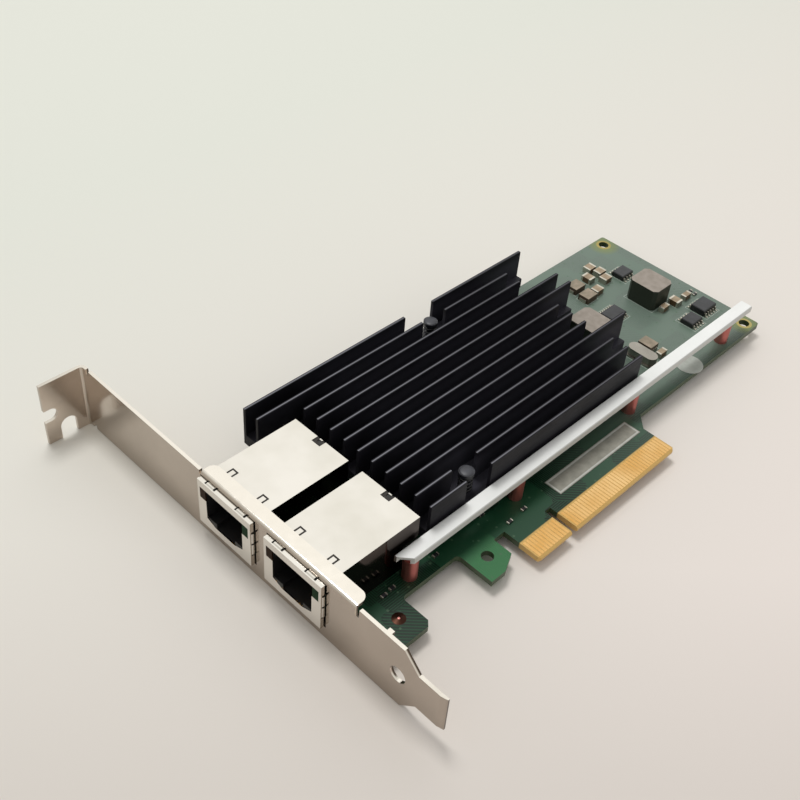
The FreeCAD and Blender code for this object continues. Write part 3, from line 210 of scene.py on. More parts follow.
# how every metal is clouded and worn: sizes are in millimetres; up, out and down are how far a face looks
# that way as its painted light (up) and painted shade (out, down) set in, and the clouds leave at least this
# share of the painted front shade
plating = dict(
    cloud=11.11, cloudEnds=(0.32, 0.68), wear=2.222, up=(0.5, 0.9), out=(-0.4, -0.8), down=(-0.2, -0.5),
    leastFrontShade=0.8, sheetAhead=2.45, edgeFade=0.1,
)
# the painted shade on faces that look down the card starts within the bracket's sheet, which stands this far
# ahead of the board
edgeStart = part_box("circuit_board")[0][0] / mm - plating["sheetAhead"]


def makeMetal(name):
    look = metalFinishes[name]
    material, tree, shader = newMaterial(name)
    place = objectPlace(tree)
    where = splitPlace(tree)
    facing = splitFacing(tree)
    grained = objectPlace(tree, look["grain"])
    grain = addNode(tree, "ShaderNodeTexNoise", {"Vector": grained, "Scale": 1.0, "Detail": 4.0})
    cloud = {"Vector": place, "Scale": 1 / plating["cloud"], "Detail": 3.0}
    clouds = addNode(tree, "ShaderNodeTexNoise", cloud)
    wear = addNode(tree, "ShaderNodeTexNoise", {"Vector": place, "Scale": 1 / plating["wear"], "Detail": 5.0})
    colour = layColour(tree, look["low"], look["high"], (clouds, *plating["cloudEnds"]))
    # painted light on faces that look up
    if "above" in look:
        colour = layColour(tree, colour, look["above"], (facing["Z"], *plating["up"]))
    # painted shade on faces that look out past the bracket, thinned a little by the clouds
    if "front" in look:
        outward = (facing["X"], *plating["out"])
        frontShadeCloud = (clouds, *noiseEnds, 1.0, plating["leastFrontShade"])
        colour = layColour(tree, colour, look["front"], outward, frontShadeCloud)
    # painted shade on faces that look down the card, behind the front of the bracket's sheet
    downward = (facing["Y"], *plating["down"])
    behindSheet = (where["X"], edgeStart - plating["edgeFade"], edgeStart + plating["edgeFade"])
    colour = layColour(tree, colour, look["edge"], downward, behindSheet)
    setShader(shader, Metallic=look.get("metal", 1.0))
    finishSurface(tree, shader, colour, wear, look["rough"], grain, look["depth"])
    return material


# Mouldings, ceramics and paper: low and high above, one colour on the sides, which is painted shade where it
# is darker than above; grit in millimetres
dullFinishes = {
    # jack housing: black glass-filled plastic, a soft sheen
    "blackHousingMoulded": dict(
        low="#070708", high="#101012", side="#0A0A0B", rough=(0.42, 0.58), grit=0.5, depth=0.01,
    ),
    # chip package: charcoal and matt from its mould, with darker painted shade on its sides
    "epoxyPackageMoulded": dict(
        low="#27282B", high="#36373B", side="#18181A", rough=(0.4, 0.52), grit=0.25, depth=0.01,
    ),
    # push pins: dark grey plastic with a bluish satin, and darker painted shade on their sides
    "nylonPinMoulded": dict(
        low="#26272D", high="#383942", side="#1C1D22", rough=(0.38, 0.5), grit=0.8, depth=0.008,
    ),
    # screened ink: thin, so the green shows through its white
    "screenInkWhite": dict(
        low="#8E9C90", high="#B4BEB2", side="#8E9C90", rough=(0.5, 0.65), grit=0.2, depth=0.004,
    ),
    # painted shadow for the inside of a slit: brown-black, without gloss
    "slitShadowBlack": dict(
        low="#17110C", high="#231A13", side="#120D09", rough=(0.6, 0.75), grit=0.5, depth=0.004,
    ),
    # pressed ferrite with painted light and shade: warm grey above, dark on the sides
    "ferritePressed": dict(
        low="#8C8276", high="#A0958A", side="#20261B", rough=(0.42, 0.55), grit=0.5, depth=0.01,
    ),
    # fired ceramic: tan, smooth, with browner painted shade on the sides
    "ceramicFiredTan": dict(
        low="#8E7A60", high="#B09C80", side="#5A452C", rough=(0.36, 0.5), grit=0.6, depth=0.006,
    ),
    # resistor glaze: black, the glossiest of the small parts
    "aluminaBlackGlaze": dict(
        low="#17171A", high="#2A2A2E", side="#17171A", rough=(0.28, 0.4), grit=0.5, depth=0.004,
    ),
    # moulded capacitor case: dull tan above, with brown painted shade on the sides
    "tantalumCaseMoulded": dict(
        low="#7E7460", high="#A59480", side="#4A3A2A", rough=(0.42, 0.56), grit=0.5, depth=0.006,
    ),
    # filled silicone: grey, matt and grainy
    "siliconePadSoft": dict(
        low="#8F959E", high="#A6ABB3", side="#8F959E", rough=(0.7, 0.85), grit=0.4, depth=0.02,
    ),
    # chip substrate: dark green laminate
    "packageLaminate": dict(
        low="#1E3F2A", high="#2B5238", side="#1E3F2A", rough=(0.4, 0.52), grit=0.5, depth=0.004,
    ),
    # polyester label: warm grey satin, with darker painted shade on its edges
    "labelPolyesterGrey": dict(
        low="#868479", high="#9A978B", side="#6C6D66", rough=(0.4, 0.52), grit=0.4, depth=0.004,
    ),
    # the label's printed border: paler than its field, as smooth
    "labelBorderPrinted": dict(
        low="#B4B4AB", high="#C4C4BC", side="#B4B4AB", rough=(0.4, 0.52), grit=0.4, depth=0.004,
    ),
    # round paper label: greyish white and dull
    "labelPaperWhite": dict(
        low="#A6AAA1", high="#B9BCB4", side="#A6AAA1", rough=(0.45, 0.6), grit=0.3, depth=0.006,
    ),
}
# how all of them are clouded, in millimetres, and how far a face looks up as its side colour, painted shade
# on the darker ones, ends
moulding = dict(cloud=2.0, up=(0.5, 0.8))


def makeDull(name):
    look = dullFinishes[name]
    material, tree, shader = newMaterial(name)
    place = objectPlace(tree)
    facing = splitFacing(tree)
    grit = addNode(tree, "ShaderNodeTexNoise", {"Vector": place, "Scale": 1 / look["grit"], "Detail": 6.0})
    cloud = {"Vector": place, "Scale": 1 / moulding["cloud"], "Detail": 3.0}
    clouds = addNode(tree, "ShaderNodeTexNoise", cloud)
    above = layColour(tree, look["low"], look["high"], (clouds, *noiseEnds))
    # the side colour on faces that don't look up: painted shade where it is darker than the top
    colour = layColour(tree, look["side"], above, (facing["Z"], *moulding["up"]))
    finishSurface(tree, shader, colour, grit, look["rough"], grit, look["depth"])
    return material


# Light pipes: smoked plastic that hardly shines, in each jack one green and one amber-brown
lightPipe = dict(
    green="#07200F", moss="#103A1C", amber="#20120A", brown="#33200F",
    rough=(0.35, 0.45), grit=1.5, depth=0.003, shine=0.04,
)


def makeLightPipe(level):
    material, tree, shader = newMaterial("smokedPolycarbonate" + level.capitalize())
    place = objectPlace(tree)
    where = splitPlace(tree)
    gritty = {"Vector": place, "Scale": 1 / lightPipe["grit"], "Detail": 4.0}
    grit = addNode(tree, "ShaderNodeTexNoise", gritty)
    low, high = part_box(level + "_jack_shield")
    middle = (low[1] + high[1]) / 2 / mm
    greenish = layColour(tree, lightPipe["green"], lightPipe["moss"], (grit, 0, 1))
    brownish = layColour(tree, lightPipe["amber"], lightPipe["brown"], (grit, 0, 1))
    colour = layColour(tree, greenish, brownish, (where["Y"], middle - 1, middle + 1))
    setShader(shader, Specular_IOR_Level=lightPipe["shine"])
    finishSurface(tree, shader, colour, grit, lightPipe["rough"], grit, lightPipe["depth"])
    return material


# Black anodised extrusion: fine drawing lines along X, a painted highlight along the middle of each fin's
# top, weaker towards the rear, and painted light that makes the lower part of the gaps between the inner fins
# paler, behind the open pocket at the front
anodised = dict(
    low="#18171B", high="#222126", cloud=8.333, cloudEnds=(0.35, 0.65),
    rough=(0.34, 0.46), lines=9.0, along=0.05, depth=0.004, shine=0.08,
    pitch=4.51, thick=0.8, worn="#7E7E84", finTopHighlightBand=(0.21, 0.09), flat=(0.85, 0.99), finTops=(14.0, 16.0),
    fade=(-35, 25), faded=0.4,
    gapLight="#3A3940", gapLightDepths=(0.4, 3.0), inner=(1, 2), behind=(-40, -28),
)


def makeAnodised():
    material, tree, shader = newMaterial("blackAnodisedAluminiumExtruded")
    place = objectPlace(tree)
    where = splitPlace(tree)
    facing = splitFacing(tree)
    drawn = objectPlace(tree, (anodised["along"], 1, 1))
    lines = addNode(tree, "ShaderNodeTexNoise", {"Vector": drawn, "Scale": anodised["lines"]})
    cloud = {"Vector": place, "Scale": 1 / anodised["cloud"], "Detail": 5.0}
    clouds = addNode(tree, "ShaderNodeTexNoise", cloud)
    colour = layColour(tree, anodised["low"], anodised["high"], (clouds, *anodised["cloudEnds"]))
    low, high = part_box("heatsink")
    firstFin = low[1] / mm + anodised["thick"] / 2
    # painted light: paler lower down between the inner fins, behind the open pocket at the front
    colour = layColour(
        tree, colour, anodised["gapLight"],
        (where["Z"], *[high[2] / mm - deep for deep in anodised["gapLightDepths"]]),
        (where["Y"], *[firstFin + past for past in anodised["inner"]]),
        (where["X"], *anodised["behind"]),
    )
    fromFirst = addNode(tree, "ShaderNodeMath", {0: where["Y"], 1: firstFin}, operation="SUBTRACT")
    fromFin = addNode(tree, "ShaderNodeMath", {0: fromFirst, 1: anodised["pitch"] / 2}, operation="PINGPONG")
    # painted highlight: a pale stripe along the middle of each fin's top, weaker towards the rear
    colour = layColour(
        tree, colour, anodised["worn"],
        (facing["Z"], *anodised["flat"]),
        (fromFin, *anodised["finTopHighlightBand"]),
        (where["Z"], *anodised["finTops"]),
        (where["X"], *anodised["fade"], 1, anodised["faded"]),
    )
    setShader(shader, Specular_IOR_Level=anodised["shine"])
    finishSurface(tree, shader, colour, lines, anodised["rough"], lines, anodised["depth"])
    return material


# Green solder mask over copper tracks, with vias, and a painted sheen that makes it paler towards the rear;
# sizes are in millimetres, and upward, slanted and filled are where a patch's random number changes what it
# holds
mask = dict(
    deep="#0A1D13", bare="#10291A", copper="#1B432C", cloud=16.67, rough=(0.3, 0.4), depth=0.02, shine=0.3,
    patch=9.0, pitch=0.55, track=(0.55, 0.7), upward=(0.49, 0.51), slanted=(0.79, 0.81), filled=(0.54, 0.56),
    via="#4E6A50", viaPitch=2.6, viaStray=0.85, viaSize=(0.1, 0.14), viaShows=0.6,
    paintedSheen="#87968A", paintedSheenPlace=(-10, 50), paintedSheenMost=0.6, paintedSheenBelowBar=0.45, barFade=1,
)
# the copper keeps clear of the rear holes and of the lug, so the laminate shows paler there
clearing = dict(
    ring="#7E8850", ringWide=4.5, ringReach=(5.2, 3.2), ringMost=0.7,
    lug="#357044", lugTop=(13.1, 9.1), lugFront=(-43, -40), lugRear=(-30, -30.5),
)
# bare laminate: glass threads show in the sawn edges and between the contacts, whose strip ends this high
# over the contact edge, and the bracket's tip reaches below that edge by tipDrop
laminate = dict(
    sawnLow="#2E3C26", sawnHigh="#46573A", threads=1.2, layers=12, upright=(0.5, 0.6),
    shade="#C29C56", light="#E0B86E", top=5.9, topFade=0.25, front=(-28.5, -28.0), tipDrop=14.74,
)
contactEdge = cadBounds[0][1] / mm + laminate["tipDrop"]


def makeTracks(tree, place):
    # 1 on copper and 0 beside it: patches of tracks along X, up the card or slantwise, and filled ones
    patched = {"Vector": place, "Scale": 1 / mask["patch"]}
    patches = addNode(tree, "ShaderNodeTexVoronoi", patched, distance="CHEBYCHEV")
    pick = addNode(tree, "ShaderNodeSeparateColor", {0: patches.outputs["Color"]}).outputs
    bands = []
    for direction in ("X", "Y", "DIAGONAL"):
        waved = {"Vector": place, "Scale": wavePeriod / mask["pitch"]}
        wave = addNode(tree, "ShaderNodeTexWave", waved, bands_direction=direction)
        bands.append(layColour(tree, off, on, (wave.outputs["Fac"], *mask["track"])))
    tracks = layColour(tree, bands[0], bands[1], (pick["Red"], *mask["upward"]))
    tracks = layColour(tree, tracks, bands[2], (pick["Green"], *mask["slanted"]))
    filled = layColour(tree, off, on, (pick["Blue"], *mask["filled"]))
    return addNode(tree, "ShaderNodeMath", {0: tracks, 1: filled}, operation="MAXIMUM")


def makeSolderMask():
    material, tree, shader = newMaterial("solderMaskOnGlassEpoxy")
    place = objectPlace(tree)
    where = splitPlace(tree)
    facing = splitFacing(tree)
    tracks = makeTracks(tree, place)
    stray = {"Vector": place, "Scale": 1 / mask["viaPitch"], "Randomness": mask["viaStray"]}
    vias = addNode(tree, "ShaderNodeTexVoronoi", stray)
    dots = layColour(tree, on, off, (vias.outputs["Distance"], *mask["viaSize"]))
    raised = addNode(tree, "ShaderNodeMath", {0: tracks, 1: dots}, operation="MAXIMUM")
    clouds = addNode(tree, "ShaderNodeTexNoise", {"Vector": place, "Scale": 1 / mask["cloud"], "Detail": 3.0})
    green = layColour(tree, mask["deep"], mask["bare"], (clouds, *noiseEnds))
    green = layColour(tree, green, mask["copper"], (tracks, 0, 1))
    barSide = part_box("stiffener_bar")[0][1] / mm
    # painted sheen of reflected light: paler and greyer towards the rear, weaker on the contact side of the
    # stiffener bar
    green = layColour(
        tree, green, mask["paintedSheen"],
        (where["X"], *mask["paintedSheenPlace"], 0, mask["paintedSheenMost"]),
        (where["Y"], barSide - mask["barFade"], barSide + mask["barFade"], mask["paintedSheenBelowBar"], 1),
    )
    ringLow, ringHigh = (Vector(corner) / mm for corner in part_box("hole_rings"))
    inward = clearing["ringWide"] / 2
    for side in (ringLow.y + inward, ringHigh.y - inward):
        hole = Vector((ringHigh.x - inward, side, ringHigh.z))
        reach = addNode(tree, "ShaderNodeVectorMath", {0: place, 1: hole}, operation="DISTANCE")
        near = (reach.outputs["Value"], *clearing["ringReach"], 0, clearing["ringMost"])
        green = layColour(tree, green, clearing["ring"], near)
    green = layColour(
        tree, green, clearing["lug"],
        (where["X"], *clearing["lugFront"]),
        (where["X"], *clearing["lugRear"]),
        (where["Y"], *[contactEdge + up for up in clearing["lugTop"]]),
    )
    green = layColour(tree, green, mask["via"], (dots, 0, 1, 0, mask["viaShows"]))
    layered = objectPlace(tree, (1, 1, laminate["layers"]))
    glass = {"Vector": layered, "Scale": laminate["threads"], "Detail": 3.0}
    threads = addNode(tree, "ShaderNodeTexNoise", glass)
    sawn = layColour(tree, laminate["sawnLow"], laminate["sawnHigh"], (threads, 0, 1))
    flat = addNode(tree, "ShaderNodeMath", {0: facing["Z"]}, operation="ABSOLUTE")
    colour = layColour(tree, sawn, green, (flat, *laminate["upright"]))
    bare = layColour(tree, laminate["shade"], laminate["light"], (threads, 0, 1))
    stripTop = contactEdge + laminate["top"]
    onStrip = (where["Y"], stripTop + laminate["topFade"], stripTop)
    colour = layColour(tree, colour, bare, onStrip, (where["X"], *laminate["front"]))
    setShader(shader, Specular_IOR_Level=mask["shine"])
    finishSurface(tree, shader, colour, clouds, mask["rough"], raised, mask["depth"])
    return material


materials = {name: makeMetal(name) for name in metalFinishes}
materials.update({name: makeDull(name) for name in dullFinishes})
materials["blackAnodised"] = makeAnodised()
materials["solderMask"] = makeSolderMask()
for level in ("upper", "lower"):
    materials[level + "LightPipe"] = makeLightPipe(level)
print("materials made")

nodeFinishes = {
    "circuit_board": "solderMask",
    "edge_contacts_front": "hardGoldPlating",
    "edge_contacts_back": "hardGoldPlating",
    "hole_rings": "solderedCopperRing",
    "mounting_bracket": "nickelPlatedSteelSatin",
    "bracket_rivets": "copperRivetRolled",
    "heatsink": "blackAnodised",
    "heatsink_push_pins": "nylonPinMoulded",
    "push_pin_springs": "springSteelDrawn",
    "stiffener_bar": "brightZincSteelFolded",
    "stiffener_posts": "copperColouredPostTurned",
    "stiffener_screws": "mattTinPlating",
    "controller_substrate": "packageLaminate",
    "controller_lid": "nickelPlatedLid",
    "controller_thermal_pad": "siliconePadSoft",
    "transceiver_chips": "epoxyPackageMoulded",
    "transceiver_thermal_pads": "siliconePadSoft",
    "rear_power_inductor": "ferritePressed",
    "middle_power_inductor": "ferritePressed",
    "small_chip_packages": "epoxyPackageMoulded",
    "small_chip_leads": "mattTinPlating",
    "wide_ceramic_capacitors": "ceramicFiredTan",
    "wide_capacitor_ends": "mattTinPlating",
    "narrow_ceramic_capacitors": "ceramicFiredTan",
    "narrow_capacitor_ends": "mattTinPlating",
    "small_resistors": "aluminaBlackGlaze",
    "small_resistor_ends": "mattTinPlating",
    "polymer_capacitors": "tantalumCaseMoulded",
    "polymer_capacitor_ends": "mattTinPlating",
    "crystal_can": "drawnNickelCan",
    "flash_memory": "epoxyPackageMoulded",
    "crystal_oscillators": "mattTinPlating",
    "back_capacitors": "ceramicFiredTan",
    "part_label": "labelPolyesterGrey",
    "round_label": "labelPaperWhite",
}
for level in ("upper", "lower"):
    nodeFinishes[level + "_jack_shield"] = "tinnedShieldSteelFormed"
    nodeFinishes[level + "_jack_housing"] = "blackHousingMoulded"
    nodeFinishes[level + "_jack_light_pipes"] = level + "LightPipe"
    nodeFinishes[level + "_jack_contact_wires"] = "hardGoldPlating"
    nodeFinishes[level + "_jack_magnetics"] = "blackHousingMoulded"
for node, finish in nodeFinishes.items():
    nodes[node].data.materials.clear()
    nodes[node].data.materials.append(materials[finish])
print("finishes given")


def looseBoxes(node):
    # lowest and highest corners, in metres, of each separate solid of a node
    bpy.ops.object.select_all(action="DESELECT")
    spare = nodes[node].copy()
    spare.data = nodes[node].data.copy()
    bpy.context.collection.objects.link(spare)
    bpy.context.view_layer.objects.active = spare
    spare.select_set(True)
    bpy.ops.object.mode_set(mode="EDIT")
    bpy.ops.mesh.select_all(action="SELECT")
    bpy.ops.mesh.remove_doubles(threshold=weld)
    bpy.ops.mesh.separate(type="LOOSE")
    bpy.ops.object.mode_set(mode="OBJECT")
    boxes = []
    for part in bpy.context.selected_objects:
        spots = [vertex.co for vertex in part.data.vertices]
        low = Vector([min(spot[axis] for spot in spots) for axis in range(3)])
        high = Vector([max(spot[axis] for spot in spots) for axis in range(3)])
        boxes.append((low, high))
    bpy.ops.object.delete()
    return sorted(boxes, key=lambda box: tuple(box[0]))


def finishPiece(parts, name, finish, smooth=35):
    # one object from its parts, with its origin at the card's own, that goes with the card
    bpy.ops.object.select_all(action="DESELECT")
    for part in parts:
        part.select_set(True)
    bpy.context.view_layer.objects.active = parts[0]
    if len(parts) > 1:
        bpy.ops.object.join()
    bpy.ops.object.transform_apply(location=True, rotation=True, scale=True)
    bpy.ops.object.mode_set(mode="EDIT")
    bpy.ops.mesh.select_all(action="SELECT")
    bpy.ops.mesh.normals_make_consistent(inside=False)
    bpy.ops.object.mode_set(mode="OBJECT")
    bpy.ops.object.shade_smooth_by_angle(angle=math.radians(smooth))
    piece = bpy.context.object
    piece.name = name
    piece.data.name = name
    piece.data.materials.clear()
    piece.data.materials.append(materials[finish])
    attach(piece, "root")
    return piece


def copiesAt(first, offsets):
    # the first part and a copy of it, with its own mesh, at each offset in metres
    parts = [first]
    for offset in offsets:
        part = first.copy()
        part.data = first.data.copy()
        part.location = first.location + offset
        bpy.context.collection.objects.link(part)
        parts.append(part)
    return parts


def repeatInBoxes(make, node):
    # one part modelled in a node's first solid, and copied into its others
    boxes = looseBoxes(node)
    return copiesAt(make(*boxes[0]), [low - boxes[0][0] for low, _ in boxes[1:]])


def addBand(low, high, wide, thick, cut=None):
    # a flat frame between two corners, inset by its width; cut takes off what lies past an X
    bpy.ops.object.select_all(action="DESELECT")
    middle = ((low[0] + high[0]) / 2, (low[1] + high[1]) / 2, low[2])
    bpy.ops.mesh.primitive_plane_add(size=1, location=middle)
    band = bpy.context.object
    band.scale = (high[0] - low[0], high[1] - low[1], 1)
    bpy.ops.object.transform_apply(location=False, rotation=False, scale=True)
    bpy.ops.object.mode_set(mode="EDIT")
    bpy.ops.mesh.select_mode(type="FACE")
    bpy.ops.mesh.select_all(action="SELECT")
    bpy.ops.mesh.inset(thickness=wide, depth=0)
    bpy.ops.mesh.delete(type="FACE")
    if cut:
        place, side = cut
        bpy.ops.mesh.select_all(action="SELECT")
        bpy.ops.mesh.bisect(plane_co=(place, 0, 0), plane_no=(side, 0, 0), clear_outer=True)
    bpy.ops.mesh.select_all(action="SELECT")
    bpy.ops.mesh.extrude_region_move(TRANSFORM_OT_translate={"value": (0, 0, thick)})
    bpy.ops.object.mode_set(mode="OBJECT")
    return band


# Push pin springs: round wire wound on a cylinder
coil = dict(wire=0.4, turns=4, around=10, steps=96)


def makeCoil(low, high):
    bpy.ops.object.select_all(action="DESELECT")
    wire = coil["wire"] / 2 * mm
    place = ((low.x + high.x) / 2, (low.y + high.y) / 2, low.z + wire)
    bpy.ops.mesh.primitive_circle_add(vertices=coil["around"], radius=wire, location=place)
    wound = bpy.context.object
    bpy.ops.object.mode_set(mode="EDIT")
    bpy.ops.mesh.select_all(action="SELECT")
    bpy.ops.transform.rotate(value=math.radians(90), orient_axis="X", center_override=place)
    bpy.ops.transform.translate(value=((high.x - low.x) / 2 - wire, 0, 0))
    bpy.ops.object.mode_set(mode="OBJECT")
    screw = wound.modifiers.new("winding", "SCREW")
    screw.angle = math.radians(360 * coil["turns"])
    screw.screw_offset = high.z - low.z - wire * 2
    screw.steps = coil["steps"]
    screw.render_steps = coil["steps"]
    bpy.ops.object.modifier_apply(modifier=screw.name)
    bpy.ops.object.mode_set(mode="EDIT")
    bpy.ops.mesh.select_all(action="SELECT")
    bpy.ops.mesh.remove_doubles(threshold=weld)
    bpy.ops.mesh.fill_holes(sides=coil["around"])
    bpy.ops.object.mode_set(mode="OBJECT")
    return wound


coils = repeatInBoxes(makeCoil, "push_pin_springs")
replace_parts(finishPiece(coils, "push_pin_coils", "springSteelDrawn", 60), "push_pin_springs")

# Push pin heads: a low dome on each
dome = dict(rise=0.35, rim=0.12, around=28, rings=12)


def makeDome(low, high):
    bpy.ops.object.select_all(action="DESELECT")
    radius = (high.x - low.x) / 2 - dome["rim"] * mm
    place = ((low.x + high.x) / 2, (low.y + high.y) / 2, high.z)
    bpy.ops.mesh.primitive_uv_sphere_add(
        segments=dome["around"], ring_count=dome["rings"], radius=radius, location=place,
    )
    cap = bpy.context.object
    cap.scale = (1, 1, dome["rise"] * mm / radius)
    bpy.ops.object.mode_set(mode="EDIT")
    bpy.ops.mesh.select_all(action="SELECT")
    bpy.ops.mesh.bisect(plane_co=place, plane_no=(0, 0, 1), clear_inner=True, use_fill=True)
    bpy.ops.object.mode_set(mode="OBJECT")
    return cap


finishPiece(repeatInBoxes(makeDome, "heatsink_push_pins"), "push_pin_domes", "nylonPinMoulded", 60)

# Rivets: the end of the drawn pin that stays in each bore
core = dict(wide=0.8, sunk=0.1, around=20, bevel=0.12, rounds=2)


def makeCore(low, high):
    bpy.ops.object.select_all(action="DESELECT")
    radius = core["wide"] / 2 * mm
    depth = high.z - low.z - core["sunk"] * 2 * mm
    middle = (low + high) / 2
    bpy.ops.mesh.primitive_cylinder_add(vertices=core["around"], radius=radius, depth=depth, location=middle)
    bpy.ops.object.mode_set(mode="EDIT")
    bpy.ops.mesh.select_all(action="SELECT")
    bpy.ops.mesh.bevel(offset=core["bevel"] * mm, segments=core["rounds"])
    bpy.ops.object.mode_set(mode="OBJECT")
    return bpy.context.object


finishPiece(repeatInBoxes(makeCore, "bracket_rivets"), "rivet_cores", "copperColouredPostTurned", 60)

# Jack shields: painted shadow as dark inlays in the slits round the lanced marks, and in the open notch round
# the rear tab
mark = dict(place=5.7, offset=5.1, wide=2.0, slit=0.44, deep=0.1, proud=0.008)
notch = dict(wide=2.7, deep=1.9, tab=0.9, sheet=0.3, floor=0.12, inset=0.02)
shields = [[Vector(corner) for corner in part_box(level + "_jack_shield")] for level in ("upper", "lower")]
middles = [(low.y + high.y) / 2 for low, high in shields]
toLowerJack = Vector((0, middles[1] - middles[0], 0))
jackFront = shields[0][0].x
jackRear = shields[0][1].x
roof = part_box("upper_jack_magnetics")[1][2] + notch["sheet"] * mm
markFront = jackFront + mark["place"] * mm
markMiddle = middles[0] + mark["offset"] * mm
halfMark = mark["wide"] / 2 * mm
slit = mark["slit"] * mm
firstMark = addBand(
    (markFront - slit, markMiddle - halfMark, roof - mark["deep"] * mm),
    (markFront + halfMark * 2, markMiddle + halfMark, roof),
    slit, (mark["deep"] + mark["proud"]) * mm, cut=(markFront, -1),
)
toOtherMark = Vector((0, -mark["offset"] * 2 * mm, 0))
shadows = copiesAt(firstMark, [toOtherMark, toLowerJack, toOtherMark + toLowerJack])
halfNotch = (notch["wide"] / 2 - notch["inset"]) * mm
besideTab = (notch["wide"] - notch["tab"]) / 2 * mm - notch["inset"] * 2 * mm
firstNotch = addBand(
    (jackRear - (notch["deep"] - notch["inset"]) * mm, middles[0] - halfNotch, roof - notch["sheet"] * mm),
    (jackRear + besideTab, middles[0] + halfNotch, roof),
    besideTab, (notch["sheet"] - notch["floor"]) * mm, cut=(jackRear, 1),
)
shadows += copiesAt(firstNotch, [toLowerJack])
finishPiece(shadows, "shield_slit_shadows", "slitShadowBlack")

# Part label: a paler printed border
border = dict(inset=0.2, wide=0.45, sunk=0.001, thick=0.014)
labelLow, labelHigh = (Vector(corner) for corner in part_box("part_label"))
inset = Vector((border["inset"], border["inset"], 0)) * mm
borderLow = labelLow + inset
borderLow.z = labelHigh.z - border["sunk"] * mm
band = addBand(borderLow, labelHigh - inset, border["wide"] * mm, border["thick"] * mm)
finishPiece([band], "part_label_border", "labelBorderPrinted")

# Silk-screen: an open frame on the mask round each chip, coil and larger capacitor, past the chips' leads
ink = dict(gap=0.35, lead=1.1, wide=0.16, thick=0.02)
boardBack, boardTop = (corner[2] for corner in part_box("circuit_board"))
framed = {
    "small_chip_packages": ink["lead"],
    "rear_power_inductor": 0,
    "middle_power_inductor": 0,
    "wide_ceramic_capacitors": 0,
    "polymer_capacitors": 0,
    "crystal_can": 0,
}
frames = []
for node, lead in framed.items():
    away = Vector((ink["gap"], ink["gap"] + lead, 0)) * mm
    for low, high in looseBoxes(node):
        start = low - away
        start.z = boardTop
        frames.append(addBand(start, high + away, ink["wide"] * mm, ink["thick"] * mm))
finishPiece(frames, "silk_screen_frames", "screenInkWhite")

# Solder: a fillet up each through-hole leg and lug of the jacks, behind the board; places are from the
# jack's front and middle, and steps are drop and narrowing
joint = dict(
    rows=(12.6, 15.1), first=-5.72, pitch=2.54, count=5, lug=(7.9, 7.6), lugSize=1.6,
    foot=0.8, around=16, steps=((0.12, 0.72), (0.22, 0.7), (0.36, 0.8), (0.15, 0.75)),
)


def makeJoint(x, y, size):
    bpy.ops.object.select_all(action="DESELECT")
    place = Vector((x, y, boardBack))
    foot = joint["foot"] * size * mm
    bpy.ops.mesh.primitive_circle_add(
        vertices=joint["around"], radius=foot, fill_type="NGON", location=place,
    )
    bpy.ops.object.mode_set(mode="EDIT")
    bpy.ops.mesh.select_mode(type="FACE")
    bpy.ops.mesh.select_all(action="SELECT")
    for drop, narrowing in joint["steps"]:
        bpy.ops.mesh.extrude_region_move(TRANSFORM_OT_translate={"value": (0, 0, -drop * mm)})
        bpy.ops.transform.resize(value=(narrowing, narrowing, 1), center_override=place)
    bpy.ops.object.mode_set(mode="OBJECT")
    return bpy.context.object


legs = []
for row, back in enumerate(joint["rows"]):
    for index in range(joint["count"]):
        # the second row stands half a pitch aside
        aside = joint["first"] + (index + row / 2) * joint["pitch"]
        legs.append(Vector((jackFront + back * mm, middles[0] + aside * mm, 0)))
lugBack, lugAside = joint["lug"]
lugs = [Vector((jackFront + lugBack * mm, middles[0] + side * lugAside * mm, 0)) for side in (1, -1)]
joints = []
for places, size in ((legs, 1.0), (lugs, joint["lugSize"])):
    offsets = [place - places[0] for place in places]
    offsets += [offset + toLowerJack for offset in offsets]
    joints += copiesAt(makeJoint(places[0].x, places[0].y, size), offsets[1:])
finishPiece(joints, "jack_solder_joints", "solderFilletReflowed", 60)
print("small pieces made")

# Floor, world and lamps: sizes and places are in metres, but the floor's gap under the card and the places
# where its painted light and shade end are in millimetres
studio = dict(
    floorSize=6, floorGap=0.1, floorRough=0.9, floorColour="#E1E2D7",
    floorWarmLight="#EFE3DC", warmLightEnds=(150, -150), floorNearShade="#D2CBC2", nearShadeEnds=(-70, -210),
    skyColour="#FFFFFF", skyLight=0.56, shownSky="#E6E5DE",
    key=dict(place=(0.05, 0.34, 1.05), size=0.35, power=4.9),
    window=dict(place=(0.71, 0.56, 0.68), size=1.0, power=0.95),
)

bpy.ops.object.select_all(action="DESELECT")
floorLevel = cadBounds[0][2] - studio["floorGap"] * mm
bpy.ops.mesh.primitive_plane_add(size=studio["floorSize"], location=(0, 0, floorLevel))
floor = bpy.context.object
floor.name = "studioFloor"
material, tree, shader = newMaterial("paleFloorPaper")
where = splitPlace(tree)
# painted light and shade on the floor: warmer towards -Y and darker towards the camera
tint = layColour(tree, studio["floorColour"], studio["floorWarmLight"], (where["Y"], *studio["warmLightEnds"]))
slant = addNode(tree, "ShaderNodeMath", {0: where["X"], 1: where["Y"]}, operation="ADD")
tint = layColour(tree, tint, studio["floorNearShade"], (slant, *studio["nearShadeEnds"]))
tree.links.new(tint, shader.inputs["Base Color"])
setShader(shader, Roughness=studio["floorRough"])
floor.data.materials.append(material)

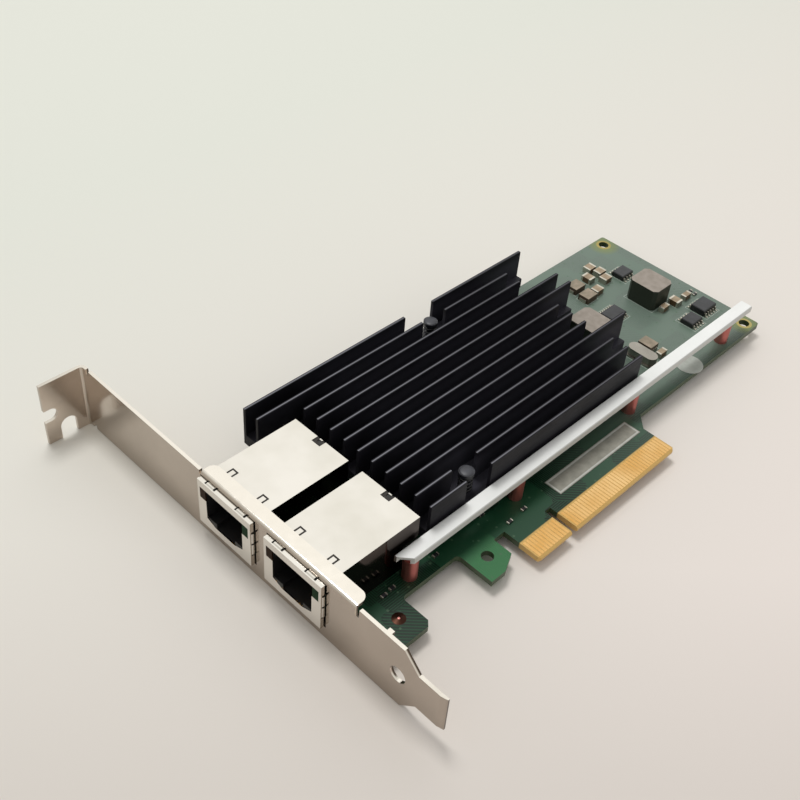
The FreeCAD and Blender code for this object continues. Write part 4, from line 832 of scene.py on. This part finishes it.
world = bpy.data.worlds.new("studioSky")
bpy.context.scene.world = world
world.use_nodes = True
tree = world.node_tree
rays = addNode(tree, "ShaderNodeLightPath").outputs
seen = {0: rays["Is Camera Ray"], 1: rays["Is Glossy Ray"]}
seen = addNode(tree, "ShaderNodeMath", seen, operation="MAXIMUM")
seen = addNode(tree, "ShaderNodeMath", {0: seen, 1: rays["Is Transmission Ray"]}, operation="MAXIMUM")
lit = addNode(tree, "ShaderNodeBackground", {"Color": studio["skyColour"], "Strength": studio["skyLight"]})
shown = addNode(tree, "ShaderNodeBackground", {"Color": studio["shownSky"], "Strength": 1.0})
mixed = addNode(tree, "ShaderNodeMixShader", {0: seen, 1: lit, 2: shown})
tree.links.new(mixed.outputs[0], tree.nodes["World Output"].inputs["Surface"])

for name in ("key", "window"):
    lamp = studio[name]
    bpy.ops.object.light_add(type="AREA", location=lamp["place"])
    light = bpy.context.object
    light.name = name + "Lamp"
    light.data.shape = "DISK"
    light.data.size = lamp["size"]
    light.data.energy = lamp["power"]
    light.rotation_euler = (-Vector(lamp["place"])).to_track_quat("-Z", "Y").to_euler()

# Camera: angles in degrees, place in metres, lens and sensor in millimetres
view = dict(
    azimuth=-48.3, elevation=42.4, roll=4.95, place=(-0.17021, -0.12718, 0.194951),
    lens=50.3, sensor=36, clip=0.01,
)
azimuth = math.radians(view["azimuth"])
elevation = math.radians(view["elevation"])
roll = math.radians(view["roll"])
level = math.cos(elevation)
back = Vector((math.sin(azimuth) * level, -math.cos(azimuth) * level, math.sin(elevation)))
right = (-back).cross(Vector((0, 0, 1))).normalized()
upward = back.cross(right)
turnedRight = right * math.cos(roll) + upward * math.sin(roll)
turnedUp = upward * math.cos(roll) - right * math.sin(roll)
turn = Matrix((turnedRight, turnedUp, back)).transposed()
bpy.ops.object.camera_add()
camera = bpy.context.object
camera.name = "studioCamera"
camera.matrix_world = Matrix.Translation(view["place"]) @ turn.to_4x4()
camera.data.lens = view["lens"]
camera.data.sensor_width = view["sensor"]
camera.data.clip_start = view["clip"]
bpy.context.scene.camera = camera
bpy.context.scene.view_settings.view_transform = "Standard"
print("studio set")
